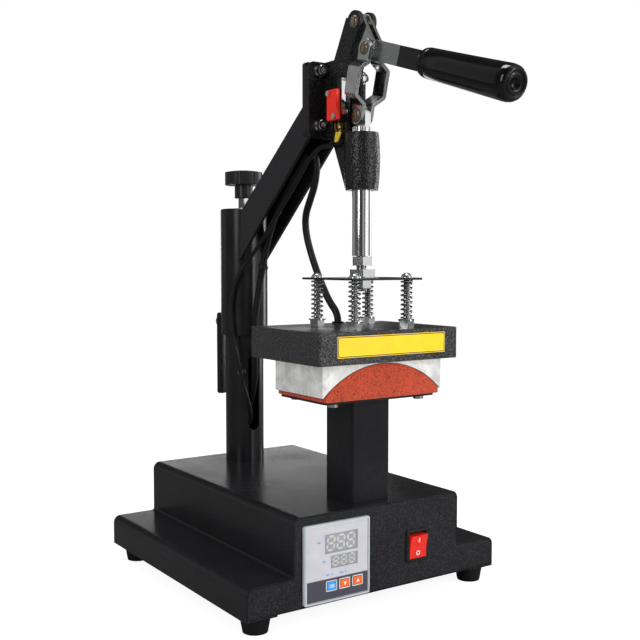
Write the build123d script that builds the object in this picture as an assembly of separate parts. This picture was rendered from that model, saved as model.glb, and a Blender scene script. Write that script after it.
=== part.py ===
"""Cap heat press: an electric swing-lever press on a sheet-steel base.

Millimetres, +Z up, +X to the operator's right, +Y to the back.
The origin is the middle of the base's footprint, on the surface that the rubber feet stand on.
The press is drawn closed as far as the heated block just meeting the silicone pad.
"""

import os
from math import asin, atan2, cos, hypot, pi, radians, sin, sqrt, tan

from build123d import *

# ---------------------------------------------------------------- driving dimensions
# base
BASE_W = 288.0
BASE_D = 292.0
BASE_H = 84.0  # sheet-metal height, without the feet
RAISED_W = 192.0
LEDGE_H = 30.0
SHELL_T = 1.5
SHELL_BEND_R = 7.5
SHELL_STEP_R = 2.5
LIP_W = 30.0
PANEL_T = 1.5
PANEL_GAP = 0.2
BOTTOM_T = 1.5
FOOT_H = 14.5
FOOT_TOP_R = 14.0
FOOT_BOTTOM_R = 11.3
FOOT_INSET_X = 18.0
FOOT_INSET_FRONT = 15.5
FOOT_INSET_REAR = 24.0
FOOT_RECESS = 6.0

# temperature controller, a 72 mm panel instrument
CONTROLLER_SIZE = 72.0
CONTROLLER_X = -50.5
CONTROLLER_Z = 39.5  # above the underside of the shell
CONTROLLER_PROUD = 4.0
CONTROLLER_BODY = 67.0
CONTROLLER_DEPTH = 62.0
CONTROLLER_WALL = 2.0
FACE_INSET = 2.0  # width of the bezel's rim
FACE_SINK = 1.0
FACE_T = 2.0
WINDOW_T = 1.2
UPPER_WINDOW_W, UPPER_WINDOW_H = 36.0, 17.0
LOWER_WINDOW_W, LOWER_WINDOW_H = 29.5, 11.0
WINDOW_RIGHT = 22.0  # right edge of both windows from the middle
UPPER_WINDOW_TOP = 25.5
WINDOW_GAP = 3.0
BUTTON_W, BUTTON_H = 10.0, 7.6
BUTTON_PITCH = 14.5
BUTTON_Z = -21.5  # from the middle of the controller
BUTTON_X = -7.0  # first button
BUTTON_TRAVEL = 0.7
BUTTON_PROUD = 0.9
BUTTON_GAP = 0.25

# rocker switch
ROCKER_X, ROCKER_Z = 43.8, 38.0
ROCKER_BEZEL_W, ROCKER_BEZEL_H, ROCKER_BEZEL_T = 26.5, 31.0, 2.0
ROCKER_BODY_DEPTH = 22.0
ROCKER_W, ROCKER_H = 20.0, 24.5
ROCKER_SWING = 16.0  # degrees from off to on
ROCKER_GAP = 0.3

# rear inlet and the parts inside the base
INLET_X, INLET_Z = 55.0, 40.0
INLET_W, INLET_H, INLET_T, INLET_DEPTH = 31.0, 50.0, 2.5, 26.0
INLET_MOUTH_W, INLET_MOUTH_H, INLET_MOUTH_DEPTH = 24.5, 17.0, 16.0
FUSE_W, FUSE_H = 24.0, 10.0
RELAY_W, RELAY_D, RELAY_H = 44.0, 58.0, 26.0

# column
COLUMN_Y = 107.0
COLUMN_R = 21.5
COLUMN_WALL = 3.0
COLUMN_TOP = 340.0  # these heights are above the underside of the shell
COLUMN_BOTTOM = 60.0
COLUMN_FLANGE = 86.0
COLUMN_FLANGE_T = 5.0
SLOT_W = 13.5
SLOT_LOW, SLOT_HIGH = 119.5, 205.0
COLUMN_SCREW_Z = 186.0

# height adjuster
SLEEVE_R = 26.4
SLEEVE_LOW, SLEEVE_HIGH = 227.0, 368.0
SLEEVE_CAP_T = 6.0
SLEEVE_FIT = 0.08
HEIGHT_SCREW_R = 5.0
HEIGHT_SCREW_FIT = 0.08
HEIGHT_NUT_T = 14.0
HEIGHT_SCREW_LOW = 285.0
KNOB_R = 21.0
KNOB_LOBES = 8
KNOB_HUB_R = 10.2
KNOB_HUB_LOW, KNOB_LOW, KNOB_HIGH = 380.6, 395.2, 411.5
KNOB_DOME = 2.0
JAM_NUT_AF = 12.0
CLAMP_LEVER_W, CLAMP_LEVER_T = 16.0, 6.0
CLAMP_LEVER_LOW, CLAMP_LEVER_HIGH = 158.0, 251.0
CLAMP_LEVER_AZ = 118.0  # degrees from +X round the column
CLAMP_LEVER_GAP = 0.3
CLAMP_SCREW_DROP = 10.0  # from the lever's upper end
CLAMP_SCREW_R = 2.5
CLAMP_SCREW_FIT = 0.05

# arm
ARM_HALF_W = 18.0
ARM_T = 3.0
ARM_TOP_REAR = (81.5, 364.6)  # (y, height) of the channel's upper and lower edges
ARM_TOP_FRONT = (-57.0, 473.0)
ARM_LOW_FRONT = (-57.0, 435.0)
ARM_LOW_REAR = (87.5, 309.5)
END_PLATE_T = 5.5
MOUNT_W = 56.0
MOUNT_LOW, MOUNT_HIGH = 428.5, 500.7
MOUNT_T = 6.0
MOUNT_CORNER_R = 6.0
MOUNT_BOLT_X = 16.2
MOUNT_BOLT_LOW, MOUNT_BOLT_HIGH = 440.0, 492.0
MOUNT_BOLT_R = 3.0
MOUNT_HEAD_R = 5.0
MOUNT_HEAD_H = 6.0

# toggle linkage
ROD_Y = -116.0
TOP_PIVOT_Z = 530.4
MID_PIVOT_FORWARD, MID_PIVOT_DROP = 15.5, 27.0
LOW_PIVOT_Z = 444.9
HANDLE_RANGE = 60.0  # degrees
PLUNGER_PER_RADIAN = 30.6  # mm of lift for a radian of handle
PIN_R = 3.8
LOW_PIN_R = 2.6
LOW_EYE_HOLE_R = 5.6
EYE_OFFSET_Y = 1.0
PIN_HEAD_R = 6.0
LOW_PIN_HEAD_R = 6.6
PIN_HEAD_T = 1.0
PIN_FIT = 0.05
BAR_T, BAR_H = 5.0, 18.0
LEVER_PLATE_T = 3.0
LEVER_TOP_R, LEVER_MID_R = 8.5, 10.0
CHEEK_T = 3.9
CHEEK_TOP_R = 10.4
SIDE_GAP = 0.15
LINK_T, LINK_W = 3.6, 17.0
LINK_BULGE_X = 18.0  # outer face of the bulge
LINK_EYE_R = 9.0
LOW_EYE_R = 8.5
LINK_BENDS = (10.5, 17.0, 42.5, 50.5)  # along the link from the middle pivot
LOW_EYE_INNER = 3.35

# handle
HANDLE_DROP = 18.1  # degrees below level
GRIP_START, GRIP_LENGTH = 80.0, 111.0
GRIP_R_INNER, GRIP_R_OUTER = 13.0, 15.0
GRIP_ROUND = 4.0
GRIP_RECESS_R, GRIP_RECESS = 8.5, 1.2
GRIP_CORE = 70.0

# guide and plunger
GUIDE_LOW, GUIDE_HIGH = 375.5, 429.0
GUIDE_TOP_R, GUIDE_MID_R, GUIDE_LOW_R = 15.6, 17.0, 15.3
ROD_R = 9.2
ROD_FIT = 0.05
ROD_TOP = 434.0
RIB_COUNT = 22
RIB_DEPTH = 0.5
TONGUE_T = 6.4
TONGUE_R = 9.3
STUD_R = 5.0
UPPER_NUT_AF, UPPER_NUT_H = 18.5, 8.4
LOWER_NUT_AF, LOWER_NUT_H = 24.0, 7.6
UNDER_NUT_AF, UNDER_NUT_H = 17.0, 8.0
SPRING_PLATE_W = 82.0
SPRING_PLATE_T = 2.0
SPRING_PLATE_TOP = 293.9
STUD_SHOW = 20.2
ROD_LOW = SPRING_PLATE_TOP + STUD_SHOW

# platen
HOUSING_W, HOUSING_D = 160.0, 117.0
HOUSING_Y = -103.7
HOUSING_LOW, HOUSING_HIGH = 217.6, 247.0
HOUSING_T = 1.5
HOUSING_CORNER_R = 3.0
HEAT_BLOCK_W, HEAT_BLOCK_D = 137.0, 79.0
HEAT_BLOCK_Y = -111.4
HEAT_BLOCK_LOW, HEAT_BLOCK_HIGH = 188.0, 230.0
INSULATION_GAP = 0.3
BOLT_PITCH = 60.4
BOLT_R = 3.0
BOLT_HEAD_R, BOLT_HEAD_H = 5.9, 4.6
BASE_NUT_AF, BASE_NUT_H = 13.0, 8.0
BASE_FLANGE_R, BASE_FLANGE_H = 8.0, 1.6
SPRING_R = 6.0  # outer
SPRING_WIRE = 1.7
SPRING_TURNS = 8
HEATER_R = 4.0
LABEL_W, LABEL_H, LABEL_T = 124.0, 19.2, 0.4

# lower platen
PILLAR_W = 44.0
PILLAR_WALL = 2.5
PILLAR_Y = -110.0
LOWER_PLATE_W, LOWER_PLATE_D, LOWER_PLATE_T = 127.0, 75.5, 2.4
LOWER_PLATE_LOW = 181.2
PAD_W, PAD_D = 130.5, 80.0
PAD_EDGE_H = 5.5
PAD_RISE = 25.9
PAD_CLEAR = 1.0
PAD_BOLT_X, PAD_BOLT_Y = 50.0, 30.0
PAD_BOLT_R, PAD_HEAD_R, PAD_HEAD_H = 2.5, 5.0, 3.2

# microswitch on the left cheek
SWITCH_H, SWITCH_D, SWITCH_T = 28.5, 15.5, 10.0
SWITCH_COVER_T = 4.6
SWITCH_FRONT_Y = -101.8
SWITCH_LOW = 442.0
SWITCH_SCREW_R = 1.45
SWITCH_LEVER_W, SWITCH_LEVER_T = 4.4, 0.8
SWITCH_LEVER_TOP, SWITCH_LEVER_LOW = 481.5, 449.0
SWITCH_LEVER_GAP = 2.0
SWITCH_BUTTON = 1.0
SWITCH_LEVER_INWARD = 1.75
SWITCH_EAR_GAP = 0.35
ROLLER_R = 2.4
SWITCH_KNUCKLE_R = 0.8
SWITCH_KNUCKLE_GAP = 0.3

# cables
HEATER_CABLE_R = 3.7
SWITCH_CABLE_R = 2.2

OVERLAP_FREE = 0.02

# ---------------------------------------------------------------- places worked out from them
SHELL_TOP = FOOT_H + BASE_H
FRONT_Y = -BASE_D / 2
REAR_Y = BASE_D / 2


def up(height):
    """A height above the underside of the shell, as a height above the floor."""
    return height + FOOT_H


# ---------------------------------------------------------------- small helpers
NODES = {}


def keep(name, *solids):
    """Stores one node: each solid in it stays separate."""
    flat = []
    for item in solids:
        flat.extend(item.solids())
    NODES[name] = Compound(children=flat) if len(flat) > 1 else flat[0]
    return NODES[name]


def block(x0, x1, y0, y1, z0, z1):
    """A box between two corners."""
    centre = Pos((x0 + x1) / 2, (y0 + y1) / 2, (z0 + z1) / 2)
    return centre * Box(x1 - x0, y1 - y0, z1 - z0)


def rod_z(r, x, y, z0, z1):
    """An upright cylinder."""
    return Pos(x, y, (z0 + z1) / 2) * Cylinder(r, z1 - z0)


def rod_x(r, x0, x1, y, z):
    """A cylinder along X."""
    return Pos((x0 + x1) / 2, y, z) * Rot(0, 90, 0) * Cylinder(r, x1 - x0)


def rod_y(r, x, y0, y1, z):
    """A cylinder along Y."""
    return Pos(x, (y0 + y1) / 2, z) * Rot(90, 0, 0) * Cylinder(r, y1 - y0)


def hex_z(across_flats, x, y, z0, z1):
    """An upright hexagonal prism with chamfered corners."""
    prism = extrude(RegularPolygon(across_flats / 2, 6, major_radius=False), z1 - z0)
    corner_r = across_flats / sqrt(3)
    cone = extrude(Circle(corner_r * 0.97), z1 - z0)
    cone = chamfer(cone.edges(), (z1 - z0) * 0.08)
    wide = extrude(Circle(corner_r * 1.2), (z1 - z0) * 0.84)
    body = (prism & cone) + (prism & (Pos(0, 0, (z1 - z0) * 0.08) * wide))
    return Pos(x, y, z0) * body


def side_plate(outline, x0, x1):
    """A face drawn in (y, z), given thickness along X."""
    return Pos(x0, 0, 0) * extrude(Plane.YZ * outline, x1 - x0)


def polygon(*points):
    """A closed flat outline."""
    return make_face(Polyline(*points, close=True))


def disc(r, at):
    """A round outline at a point of a flat drawing."""
    return Pos(*at) * Circle(r)


def mirrored(solid):
    """The same piece on the other side of the middle plane."""
    return mirror(solid, about=Plane.YZ)


def tube_path(points, radii_share=0.45):
    """Straight runs joined by arcs as large as the runs allow, and the radii of the arcs."""
    vectors = [Vector(*p) for p in points]
    radii = []
    for before, here, after in zip(vectors, vectors[1:], vectors[2:]):
        turn = radians((here - before).get_angle(after - here))
        shorter = min((here - before).length, (after - here).length)
        radii.append(radii_share * shorter / tan(turn / 2))
    return FilletPolyline(*vectors, radius=radii), radii


def cable(name, points, r):
    """A round cable along chosen points; prints its radii and checks its volume."""
    path, radii = tube_path(points)
    start = path.position_at(0)
    heading = path.tangent_at(0)
    solid = sweep(Plane(origin=start, z_dir=heading) * Circle(r), path=path)
    ideal = pi * r * r * path.length
    print(name, "radii", [round(v, 1) for v in radii], "in diameters, least", round(min(radii) / (2 * r), 1),
          "length", round(path.length, 1), "volume share", round(solid.volume / ideal, 4))
    return solid


# ---------------------------------------------------------------- base
def hat_outline(inset):
    """The base's front view, drawn inwards by an inset, with its bends."""
    half, raised = BASE_W / 2 - inset, RAISED_W / 2 - inset
    low, ledge, top = up(0), up(LEDGE_H) - inset, SHELL_TOP - inset
    outer_r = max(SHELL_BEND_R - inset, 0.6)
    step_r = SHELL_STEP_R + inset
    line = FilletPolyline(
        (-half, low), (-half, ledge), (-raised, ledge), (-raised, top),
        (raised, top), (raised, ledge), (half, ledge), (half, low),
        radius=(outer_r, step_r, outer_r, outer_r, step_r, outer_r),
    )
    return make_face(line + Line((half, low), (-half, low)))


def build_base_shell():
    """The bent top: two ledges and a raised middle, open at the front, back and underneath."""
    outer = hat_outline(0)
    inner = hat_outline(SHELL_T)
    shell = extrude(Plane.XZ * outer, BASE_D / 2, both=True) - extrude(Plane.XZ * inner, BASE_D / 2, both=True)
    side = BASE_W / 2 - SHELL_T
    lip = block(side - LIP_W, side + SHELL_T / 2, FRONT_Y, REAR_Y, up(0), up(0) + SHELL_T)
    shell = shell + lip + mirrored(lip)
    shell = shell - rod_z(COLUMN_R + SLEEVE_FIT, 0, COLUMN_Y, up(COLUMN_BOTTOM), SHELL_TOP + 1)
    for x, y in foot_places():
        shell = shell - rod_z(FOOT_SCREW_R, x, y, up(-1), up(SHELL_T + 1))
    return shell


FOOT_SCREW_R = 2.5


def foot_places():
    """Centres of the four feet."""
    x = BASE_W / 2 - FOOT_INSET_X
    return [(sx * x, y) for sx in (-1, 1) for y in (FRONT_Y + FOOT_INSET_FRONT, REAR_Y - FOOT_INSET_REAR)]


def build_panel(y0):
    """A hat-shaped end plate inside the shell."""
    face = hat_outline(SHELL_T + PANEL_GAP)
    plate = Pos(0, y0 + PANEL_T, 0) * extrude(Plane.XZ * face, PANEL_T)
    return plate - block(-BASE_W, BASE_W, y0 - 1, y0 + PANEL_T + 1, up(-1), up(SHELL_T + BOTTOM_T + PANEL_GAP))


def build_base():
    keep("base_shell", build_base_shell())

    front = build_panel(FRONT_Y)
    half = CONTROLLER_BODY / 2 + PANEL_GAP
    front = front - block(CONTROLLER_X - half, CONTROLLER_X + half, FRONT_Y - 1, FRONT_Y + PANEL_T + 1,
                          up(CONTROLLER_Z) - half, up(CONTROLLER_Z) + half)
    front = front - block(*rocker_box(PANEL_GAP, FRONT_Y - 1, FRONT_Y + PANEL_T + 1))
    keep("front_panel", front)

    rear = build_panel(REAR_Y - PANEL_T)
    rear = rear - block(*inlet_box(PANEL_GAP, REAR_Y - PANEL_T - 1, REAR_Y + 1))
    keep("rear_panel", rear)

    side = BASE_W / 2 - SHELL_T - PANEL_GAP
    plate = block(-side, side, FRONT_Y, REAR_Y, up(SHELL_T), up(SHELL_T + BOTTOM_T))
    for x, y in foot_places():
        plate = plate - rod_z(FOOT_SCREW_R, x, y, up(0), up(SHELL_T + BOTTOM_T + 1))
    for row in range(VENT_COUNT):
        y = VENT_PITCH * (row - (VENT_COUNT - 1) / 2)
        vent = extrude(SlotOverall(VENT_L, VENT_W), 2 * BOTTOM_T, both=True)
        plate = plate - Pos(0, y, up(SHELL_T + BOTTOM_T / 2)) * vent
    keep("bottom_plate", plate)

    feet, foot_screws = [], []
    for x, y in foot_places():
        cone = Pos(x, y, FOOT_H / 2) * Cone(FOOT_BOTTOM_R, FOOT_TOP_R, FOOT_H)
        cone = cone - rod_z(FOOT_SCREW_R, x, y, 0, FOOT_H)
        feet.append(cone - rod_z(2 * FOOT_SCREW_R, x, y, 0, FOOT_RECESS))
        shank = rod_z(FOOT_SCREW_R, x, y, FOOT_RECESS, up(SHELL_T + BOTTOM_T + 3))
        foot_screws.append(shank + rod_z(1.8 * FOOT_SCREW_R, x, y, FOOT_RECESS - 2.5, FOOT_RECESS))
    keep("rubber_feet", *feet)
    keep("foot_screws", *foot_screws)


VENT_COUNT = 9
VENT_PITCH = 12.0
VENT_L, VENT_W = 90.0, 4.0


def rocker_box(grow, y0, y1):
    """The rocker switch's cut-out in the front panel, grown by a gap."""
    x, z = ROCKER_X, up(ROCKER_Z)
    w, h = ROCKER_BEZEL_W / 2 - 2 + grow, ROCKER_BEZEL_H / 2 - 2 + grow
    return (x - w, x + w, y0, y1, z - h, z + h)


def inlet_box(grow, y0, y1):
    """The mains inlet's cut-out in the rear panel, grown by a gap."""
    x, z = INLET_X, up(INLET_Z)
    w, h = INLET_W / 2 - 2 + grow, INLET_H / 2 - 2 + grow
    return (x - w, x + w, y0, y1, z - h, z + h)


# ---------------------------------------------------------------- controller and switch
def panel_box(cx, cz, w, h, y0, y1):
    """A box on the front, by its middle and size."""
    return block(cx - w / 2, cx + w / 2, y0, y1, cz - h / 2, cz + h / 2)


def controller_marks():
    """Middles and sizes of the windows and middles of the buttons."""
    cx, cz = CONTROLLER_X, up(CONTROLLER_Z)
    upper = (cx + WINDOW_RIGHT - UPPER_WINDOW_W / 2, cz + UPPER_WINDOW_TOP - UPPER_WINDOW_H / 2)
    lower_top = cz + UPPER_WINDOW_TOP - UPPER_WINDOW_H - WINDOW_GAP
    lower = (cx + WINDOW_RIGHT - LOWER_WINDOW_W / 2, lower_top - LOWER_WINDOW_H / 2)
    buttons = [(cx + BUTTON_X + i * BUTTON_PITCH, cz + BUTTON_Z) for i in range(3)]
    return upper, lower, buttons


def build_controller():
    cx, cz = CONTROLLER_X, up(CONTROLLER_Z)
    size, body = CONTROLLER_SIZE, CONTROLLER_BODY
    front = FRONT_Y - CONTROLLER_PROUD
    upper, lower, buttons = controller_marks()

    bezel = panel_box(cx, cz, size, size, front, FRONT_Y)
    bezel = fillet(bezel.edges().filter_by(Axis.Y), 2.0)
    bezel = chamfer(bezel.faces().sort_by(Axis.Y)[0].edges(), 1.0)
    opening = size - 2 * FACE_INSET
    face_front = front + FACE_SINK
    board_y = face_front + FACE_T
    bezel = bezel - panel_box(cx, cz, opening, opening, front - 1, board_y)
    bezel = bezel - panel_box(cx, cz, body - 1, body - 1, board_y - 1, FRONT_Y + 1)
    face_size = opening - 2 * PANEL_GAP
    face = panel_box(cx, cz, face_size, face_size, face_front, face_front + FACE_T)
    for (x, z), w, h in ((upper, UPPER_WINDOW_W, UPPER_WINDOW_H), (lower, LOWER_WINDOW_W, LOWER_WINDOW_H)):
        face = face - panel_box(x, z, w + 2 * PANEL_GAP, h + 2 * PANEL_GAP, face_front - 1, face_front + FACE_T + 1)
    for x, z in buttons:
        face = face - panel_box(x, z, BUTTON_W + 2 * BUTTON_GAP, BUTTON_H + 2 * BUTTON_GAP,
                                face_front - 1, face_front + FACE_T + 1)
    keep("controller_face", face)

    window_front = face_front + FACE_T - WINDOW_T
    keep("display_windows",
         panel_box(*upper, UPPER_WINDOW_W, UPPER_WINDOW_H, window_front, face_front + FACE_T),
         panel_box(*lower, LOWER_WINDOW_W, LOWER_WINDOW_H, window_front, face_front + FACE_T))

    case = panel_box(cx, cz, body, body, board_y, FRONT_Y + CONTROLLER_DEPTH)
    hollow = body - 2 * CONTROLLER_WALL
    case = case - panel_box(cx, cz, hollow, hollow, board_y + BOARD_SPACE, FRONT_Y + CONTROLLER_DEPTH - CONTROLLER_WALL)
    for x, z in buttons:
        case = case - panel_box(x, z, BUTTON_W, BUTTON_H, board_y - 1, board_y + BUTTON_WELL)
    keep("controller_case", bezel + case)

    cap_back = board_y + BUTTON_WELL - BUTTON_TRAVEL - OVERLAP_FREE
    for name, (x, z) in zip(("set_button", "down_button", "up_button"), buttons):
        cap = panel_box(x, z, BUTTON_W, BUTTON_H, face_front - BUTTON_PROUD, cap_back)
        cap = cap & panel_box(x, z, BUTTON_W - 2 * BUTTON_GAP, BUTTON_H - 2 * BUTTON_GAP, front - 9, cap_back)
        keep(name, fillet(cap.faces().sort_by(Axis.Y)[0].edges(), 0.3))


BOARD_SPACE = 4.0
BUTTON_WELL = 1.8


def rocker_outline():
    """Side view of the rocker key in (y, z): a shallow roof about its pivot, shown off."""
    pivot_y = FRONT_Y - ROCKER_BEZEL_T + ROCKER_PIVOT_IN
    z = up(ROCKER_Z)
    rise = ROCKER_H / 2 * tan(radians(ROCKER_SWING / 2))
    reach = ROCKER_PIVOT_IN + ROCKER_PROUD
    tip = ROCKER_H / 2 - ROCKER_TIP_INSET
    points = [(-reach, 0.0), (-reach - rise * 0.55, tip), (0.5, ROCKER_H / 2 - 1.5),
              (3.0, 0.0), (0.5, -ROCKER_H / 2 + 1.5), (-reach - rise * 0.55, -tip)]
    turned = []
    angle = radians(ROCKER_SWING / 2)
    for y, h in points:
        turned.append((pivot_y + y * cos(angle) - h * sin(angle), z + y * sin(angle) + h * cos(angle)))
    return polygon(*turned), pivot_y, z


ROCKER_PIVOT_IN = 5.5
ROCKER_PROUD = 1.2
ROCKER_AXLE_R = 1.5
ROCKER_TIP_INSET = 1.0


def build_rocker():
    x, z = ROCKER_X, up(ROCKER_Z)
    front = FRONT_Y - ROCKER_BEZEL_T
    bezel = panel_box(x, z, ROCKER_BEZEL_W, ROCKER_BEZEL_H, front, FRONT_Y)
    bezel = fillet(bezel.edges().filter_by(Axis.Y), 2.0)
    bezel = chamfer(bezel.faces().sort_by(Axis.Y)[0].edges(), 0.8)
    body = block(*rocker_box(0, FRONT_Y, FRONT_Y + ROCKER_BODY_DEPTH))
    well_w, well_h = ROCKER_W + 2 * ROCKER_GAP, ROCKER_H + 2 * ROCKER_GAP
    body = bezel + body - panel_box(x, z, well_w, well_h, front - 1, FRONT_Y + ROCKER_WELL)
    outline, pivot_y, pivot_z = rocker_outline()
    axle = rod_x(ROCKER_AXLE_R, x - well_w / 2, x + well_w / 2, pivot_y, pivot_z)
    for dz in (-9, 0, 9):
        body = body + panel_box(x, z + dz, 6.3, 0.8, FRONT_Y + ROCKER_BODY_DEPTH - 1, FRONT_Y + ROCKER_BODY_DEPTH + 9)
    keep("rocker_housing", body + axle)
    key = side_plate(outline, x - ROCKER_W / 2, x + ROCKER_W / 2)
    keep("rocker_key", key - rod_x(ROCKER_AXLE_R + PIN_FIT, x - ROCKER_W, x + ROCKER_W, pivot_y, pivot_z))


ROCKER_WELL = 12.0


# ---------------------------------------------------------------- electrics in the base
def build_electrics():
    x, z = INLET_X, up(INLET_Z)
    flange = panel_box(x, z, INLET_W, INLET_H, REAR_Y, REAR_Y + INLET_T)
    flange = fillet(flange.edges().filter_by(Axis.Y), 3.0)
    inlet = flange + block(*inlet_box(0, REAR_Y - INLET_DEPTH, REAR_Y))
    mouth_z = z - INLET_H / 2 + INLET_MOUTH_H / 2 + 6
    mouth_front = REAR_Y + INLET_T
    inlet = inlet - panel_box(x, mouth_z, INLET_MOUTH_W, INLET_MOUTH_H, mouth_front - INLET_MOUTH_DEPTH, mouth_front + 1)
    fuse_z = z + INLET_H / 2 - FUSE_H / 2 - 6
    inlet = inlet - panel_box(x, fuse_z, FUSE_W, FUSE_H, REAR_Y - INLET_DEPTH + 4, mouth_front + 1)
    drawer = panel_box(x, fuse_z, FUSE_W - 2 * PANEL_GAP, FUSE_H - 2 * PANEL_GAP, REAR_Y - INLET_DEPTH + 3, mouth_front + 0.8)
    inlet = inlet + drawer
    for dx, dz in ((-7, -1.5), (7, -1.5), (0, 2.5)):
        inlet = inlet + panel_box(x + dx, mouth_z + dz, 2, 4, mouth_front - INLET_MOUTH_DEPTH - 1, mouth_front - 3)
    keep("power_inlet", inlet)

    floor = up(SHELL_T + BOTTOM_T)
    relay = block(RELAY_X - RELAY_W / 2, RELAY_X + RELAY_W / 2, RELAY_Y - RELAY_D / 2, RELAY_Y + RELAY_D / 2,
                  floor, floor + RELAY_H)
    for sy in (-1, 1):
        relay = relay - rod_z(2.2, RELAY_X, RELAY_Y + sy * (RELAY_D / 2 - 6), floor - 1, floor + RELAY_H + 1)
    keep("solid_state_relay", relay)


RELAY_X, RELAY_Y = -38.0, 40.0


# ---------------------------------------------------------------- column
def build_column():
    y = COLUMN_Y
    inner = COLUMN_R - COLUMN_WALL
    post = rod_z(COLUMN_R, 0, y, up(COLUMN_BOTTOM), up(COLUMN_TOP)) - rod_z(inner, 0, y, up(COLUMN_BOTTOM), up(COLUMN_TOP))
    straight = block(-SLOT_W / 2, SLOT_W / 2, y - COLUMN_R - 5, y, up(SLOT_LOW) + SLOT_W / 2, up(SLOT_HIGH) - SLOT_W / 2)
    ends = [rod_y(SLOT_W / 2, 0, y - COLUMN_R - 5, y, up(SLOT_LOW) + SLOT_W / 2),
            rod_y(SLOT_W / 2, 0, y - COLUMN_R - 5, y, up(SLOT_HIGH) - SLOT_W / 2)]
    post = post - straight - ends[0] - ends[1]
    screw_dir = radians(COLUMN_SCREW_AZ)
    tip = (COLUMN_R + 2) * cos(screw_dir), (COLUMN_R + 2) * sin(screw_dir)
    hole = Plane(origin=(tip[0], y + tip[1], up(COLUMN_SCREW_Z)), z_dir=(-cos(screw_dir), -sin(screw_dir), 0))
    post = post - hole * Pos(0, 0, 4) * Cylinder(COLUMN_SCREW_R, 12)
    screw = hole * Pos(0, 0, 1.4 + 3.5) * Cylinder(COLUMN_SCREW_R, 7)
    screw = screw - hole * Pos(0, 0, 2) * extrude(RegularPolygon(2.4, 6), 3, both=True)
    keep("column_screw", screw)

    half = COLUMN_FLANGE / 2
    top = SHELL_TOP - SHELL_T
    flange = block(-half, half, y - half, min(y + half, REAR_Y - PANEL_T - 1), top - COLUMN_FLANGE_T, top)
    flange = flange - rod_z(COLUMN_R - 0.5, 0, y, up(COLUMN_BOTTOM), top + 1)
    nut = rod_z(inner + 0.5, 0, y, up(COLUMN_TOP) - HEIGHT_NUT_T, up(COLUMN_TOP))
    nut = nut - rod_z(HEIGHT_SCREW_R + HEIGHT_SCREW_FIT, 0, y, up(COLUMN_TOP) - HEIGHT_NUT_T - 1, up(COLUMN_TOP) + 1)
    keep("column_post", post + flange + nut)


COLUMN_SCREW_AZ = 232.0
COLUMN_SCREW_R = 4.5


# ---------------------------------------------------------------- height adjuster
def build_adjuster():
    y = COLUMN_Y
    bore = COLUMN_R + SLEEVE_FIT
    sleeve = rod_z(SLEEVE_R, 0, y, up(SLEEVE_LOW), up(SLEEVE_HIGH))
    sleeve = chamfer(sleeve.edges().sort_by(Axis.Z)[-1], 1.2)
    sleeve = sleeve - rod_z(bore, 0, y, up(SLEEVE_LOW), up(SLEEVE_HIGH) - SLEEVE_CAP_T)
    sleeve = sleeve - rod_z(HEIGHT_SCREW_R + HEIGHT_SCREW_FIT, 0, y, up(SLEEVE_HIGH) - SLEEVE_CAP_T - 1, up(SLEEVE_HIGH) + 1)
    pivot = clamp_plane(up(CLAMP_LEVER_HIGH - CLAMP_SCREW_DROP))
    sleeve = sleeve - pivot * Cylinder(CLAMP_SCREW_R + CLAMP_SCREW_FIT, 4 * COLUMN_WALL)
    keep("column_sleeve", sleeve)

    length = CLAMP_LEVER_HIGH - CLAMP_LEVER_LOW
    lever = Pos(0, CLAMP_SCREW_DROP - length / 2, CLAMP_LEVER_T / 2) * Box(CLAMP_LEVER_W, length, CLAMP_LEVER_T)
    lever = fillet(lever.edges().filter_by(Axis.Z), 2.5)
    lever = chamfer(lever.faces().sort_by(Axis.Z)[-1].edges(), 0.8)
    lever = lever - Pos(0, 0, CLAMP_LEVER_T / 2) * Cylinder(CLAMP_SCREW_R, 2 * CLAMP_LEVER_T)
    keep("clamp_lever", pivot * lever)
    shank_low = CLAMP_SCREW_INSIDE - CLAMP_LEVER_GAP
    shank = Pos(0, 0, (CLAMP_LEVER_T + shank_low) / 2) * Cylinder(CLAMP_SCREW_R, CLAMP_LEVER_T - shank_low)
    head = Pos(0, 0, CLAMP_LEVER_T + 1.5) * Cylinder(2 * CLAMP_SCREW_R, 3)
    keep("clamp_screw", pivot * (shank + head))

    screw = rod_z(HEIGHT_SCREW_R, 0, y, up(HEIGHT_SCREW_LOW), up(KNOB_HIGH) - 8)
    collar_low = up(SLEEVE_HIGH) + 1.2
    washer = rod_z(8.5, 0, y, up(SLEEVE_HIGH) + OVERLAP_FREE, collar_low)
    washer = washer - rod_z(HEIGHT_SCREW_R, 0, y, up(SLEEVE_HIGH) - 1, collar_low + 1)
    nut = hex_z(JAM_NUT_AF, 0, y, collar_low, up(KNOB_HUB_LOW)) - rod_z(HEIGHT_SCREW_R, 0, y, collar_low - 1, up(KNOB_HUB_LOW) + 1)
    keep("height_screw", screw)
    keep("jam_nut", nut + washer)

    lobe_r = pi * KNOB_R / (KNOB_LOBES * 2.2)
    hub = rod_z(KNOB_HUB_R, 0, y, up(KNOB_HUB_LOW), up(KNOB_LOW))
    wheel = rod_z(KNOB_R, 0, y, up(KNOB_LOW), up(KNOB_HIGH) - KNOB_DOME)
    for i in range(KNOB_LOBES):
        a = 2 * pi * i / KNOB_LOBES
        reach = KNOB_R + lobe_r * 0.62
        wheel = wheel - rod_z(lobe_r, reach * cos(a), y + reach * sin(a), up(KNOB_LOW) - 1, up(KNOB_HIGH) + 1)
    dome_r = (KNOB_R**2 + KNOB_DOME**2) / (2 * KNOB_DOME)
    dome = Pos(0, y, up(KNOB_HIGH) - dome_r) * Sphere(dome_r)
    crown = extrude(wheel.faces().sort_by(Axis.Z)[-1], KNOB_DOME) & dome
    knob = hub + wheel + crown
    keep("height_knob", knob - screw)


CLAMP_SCREW_INSIDE = -4.0


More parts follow.
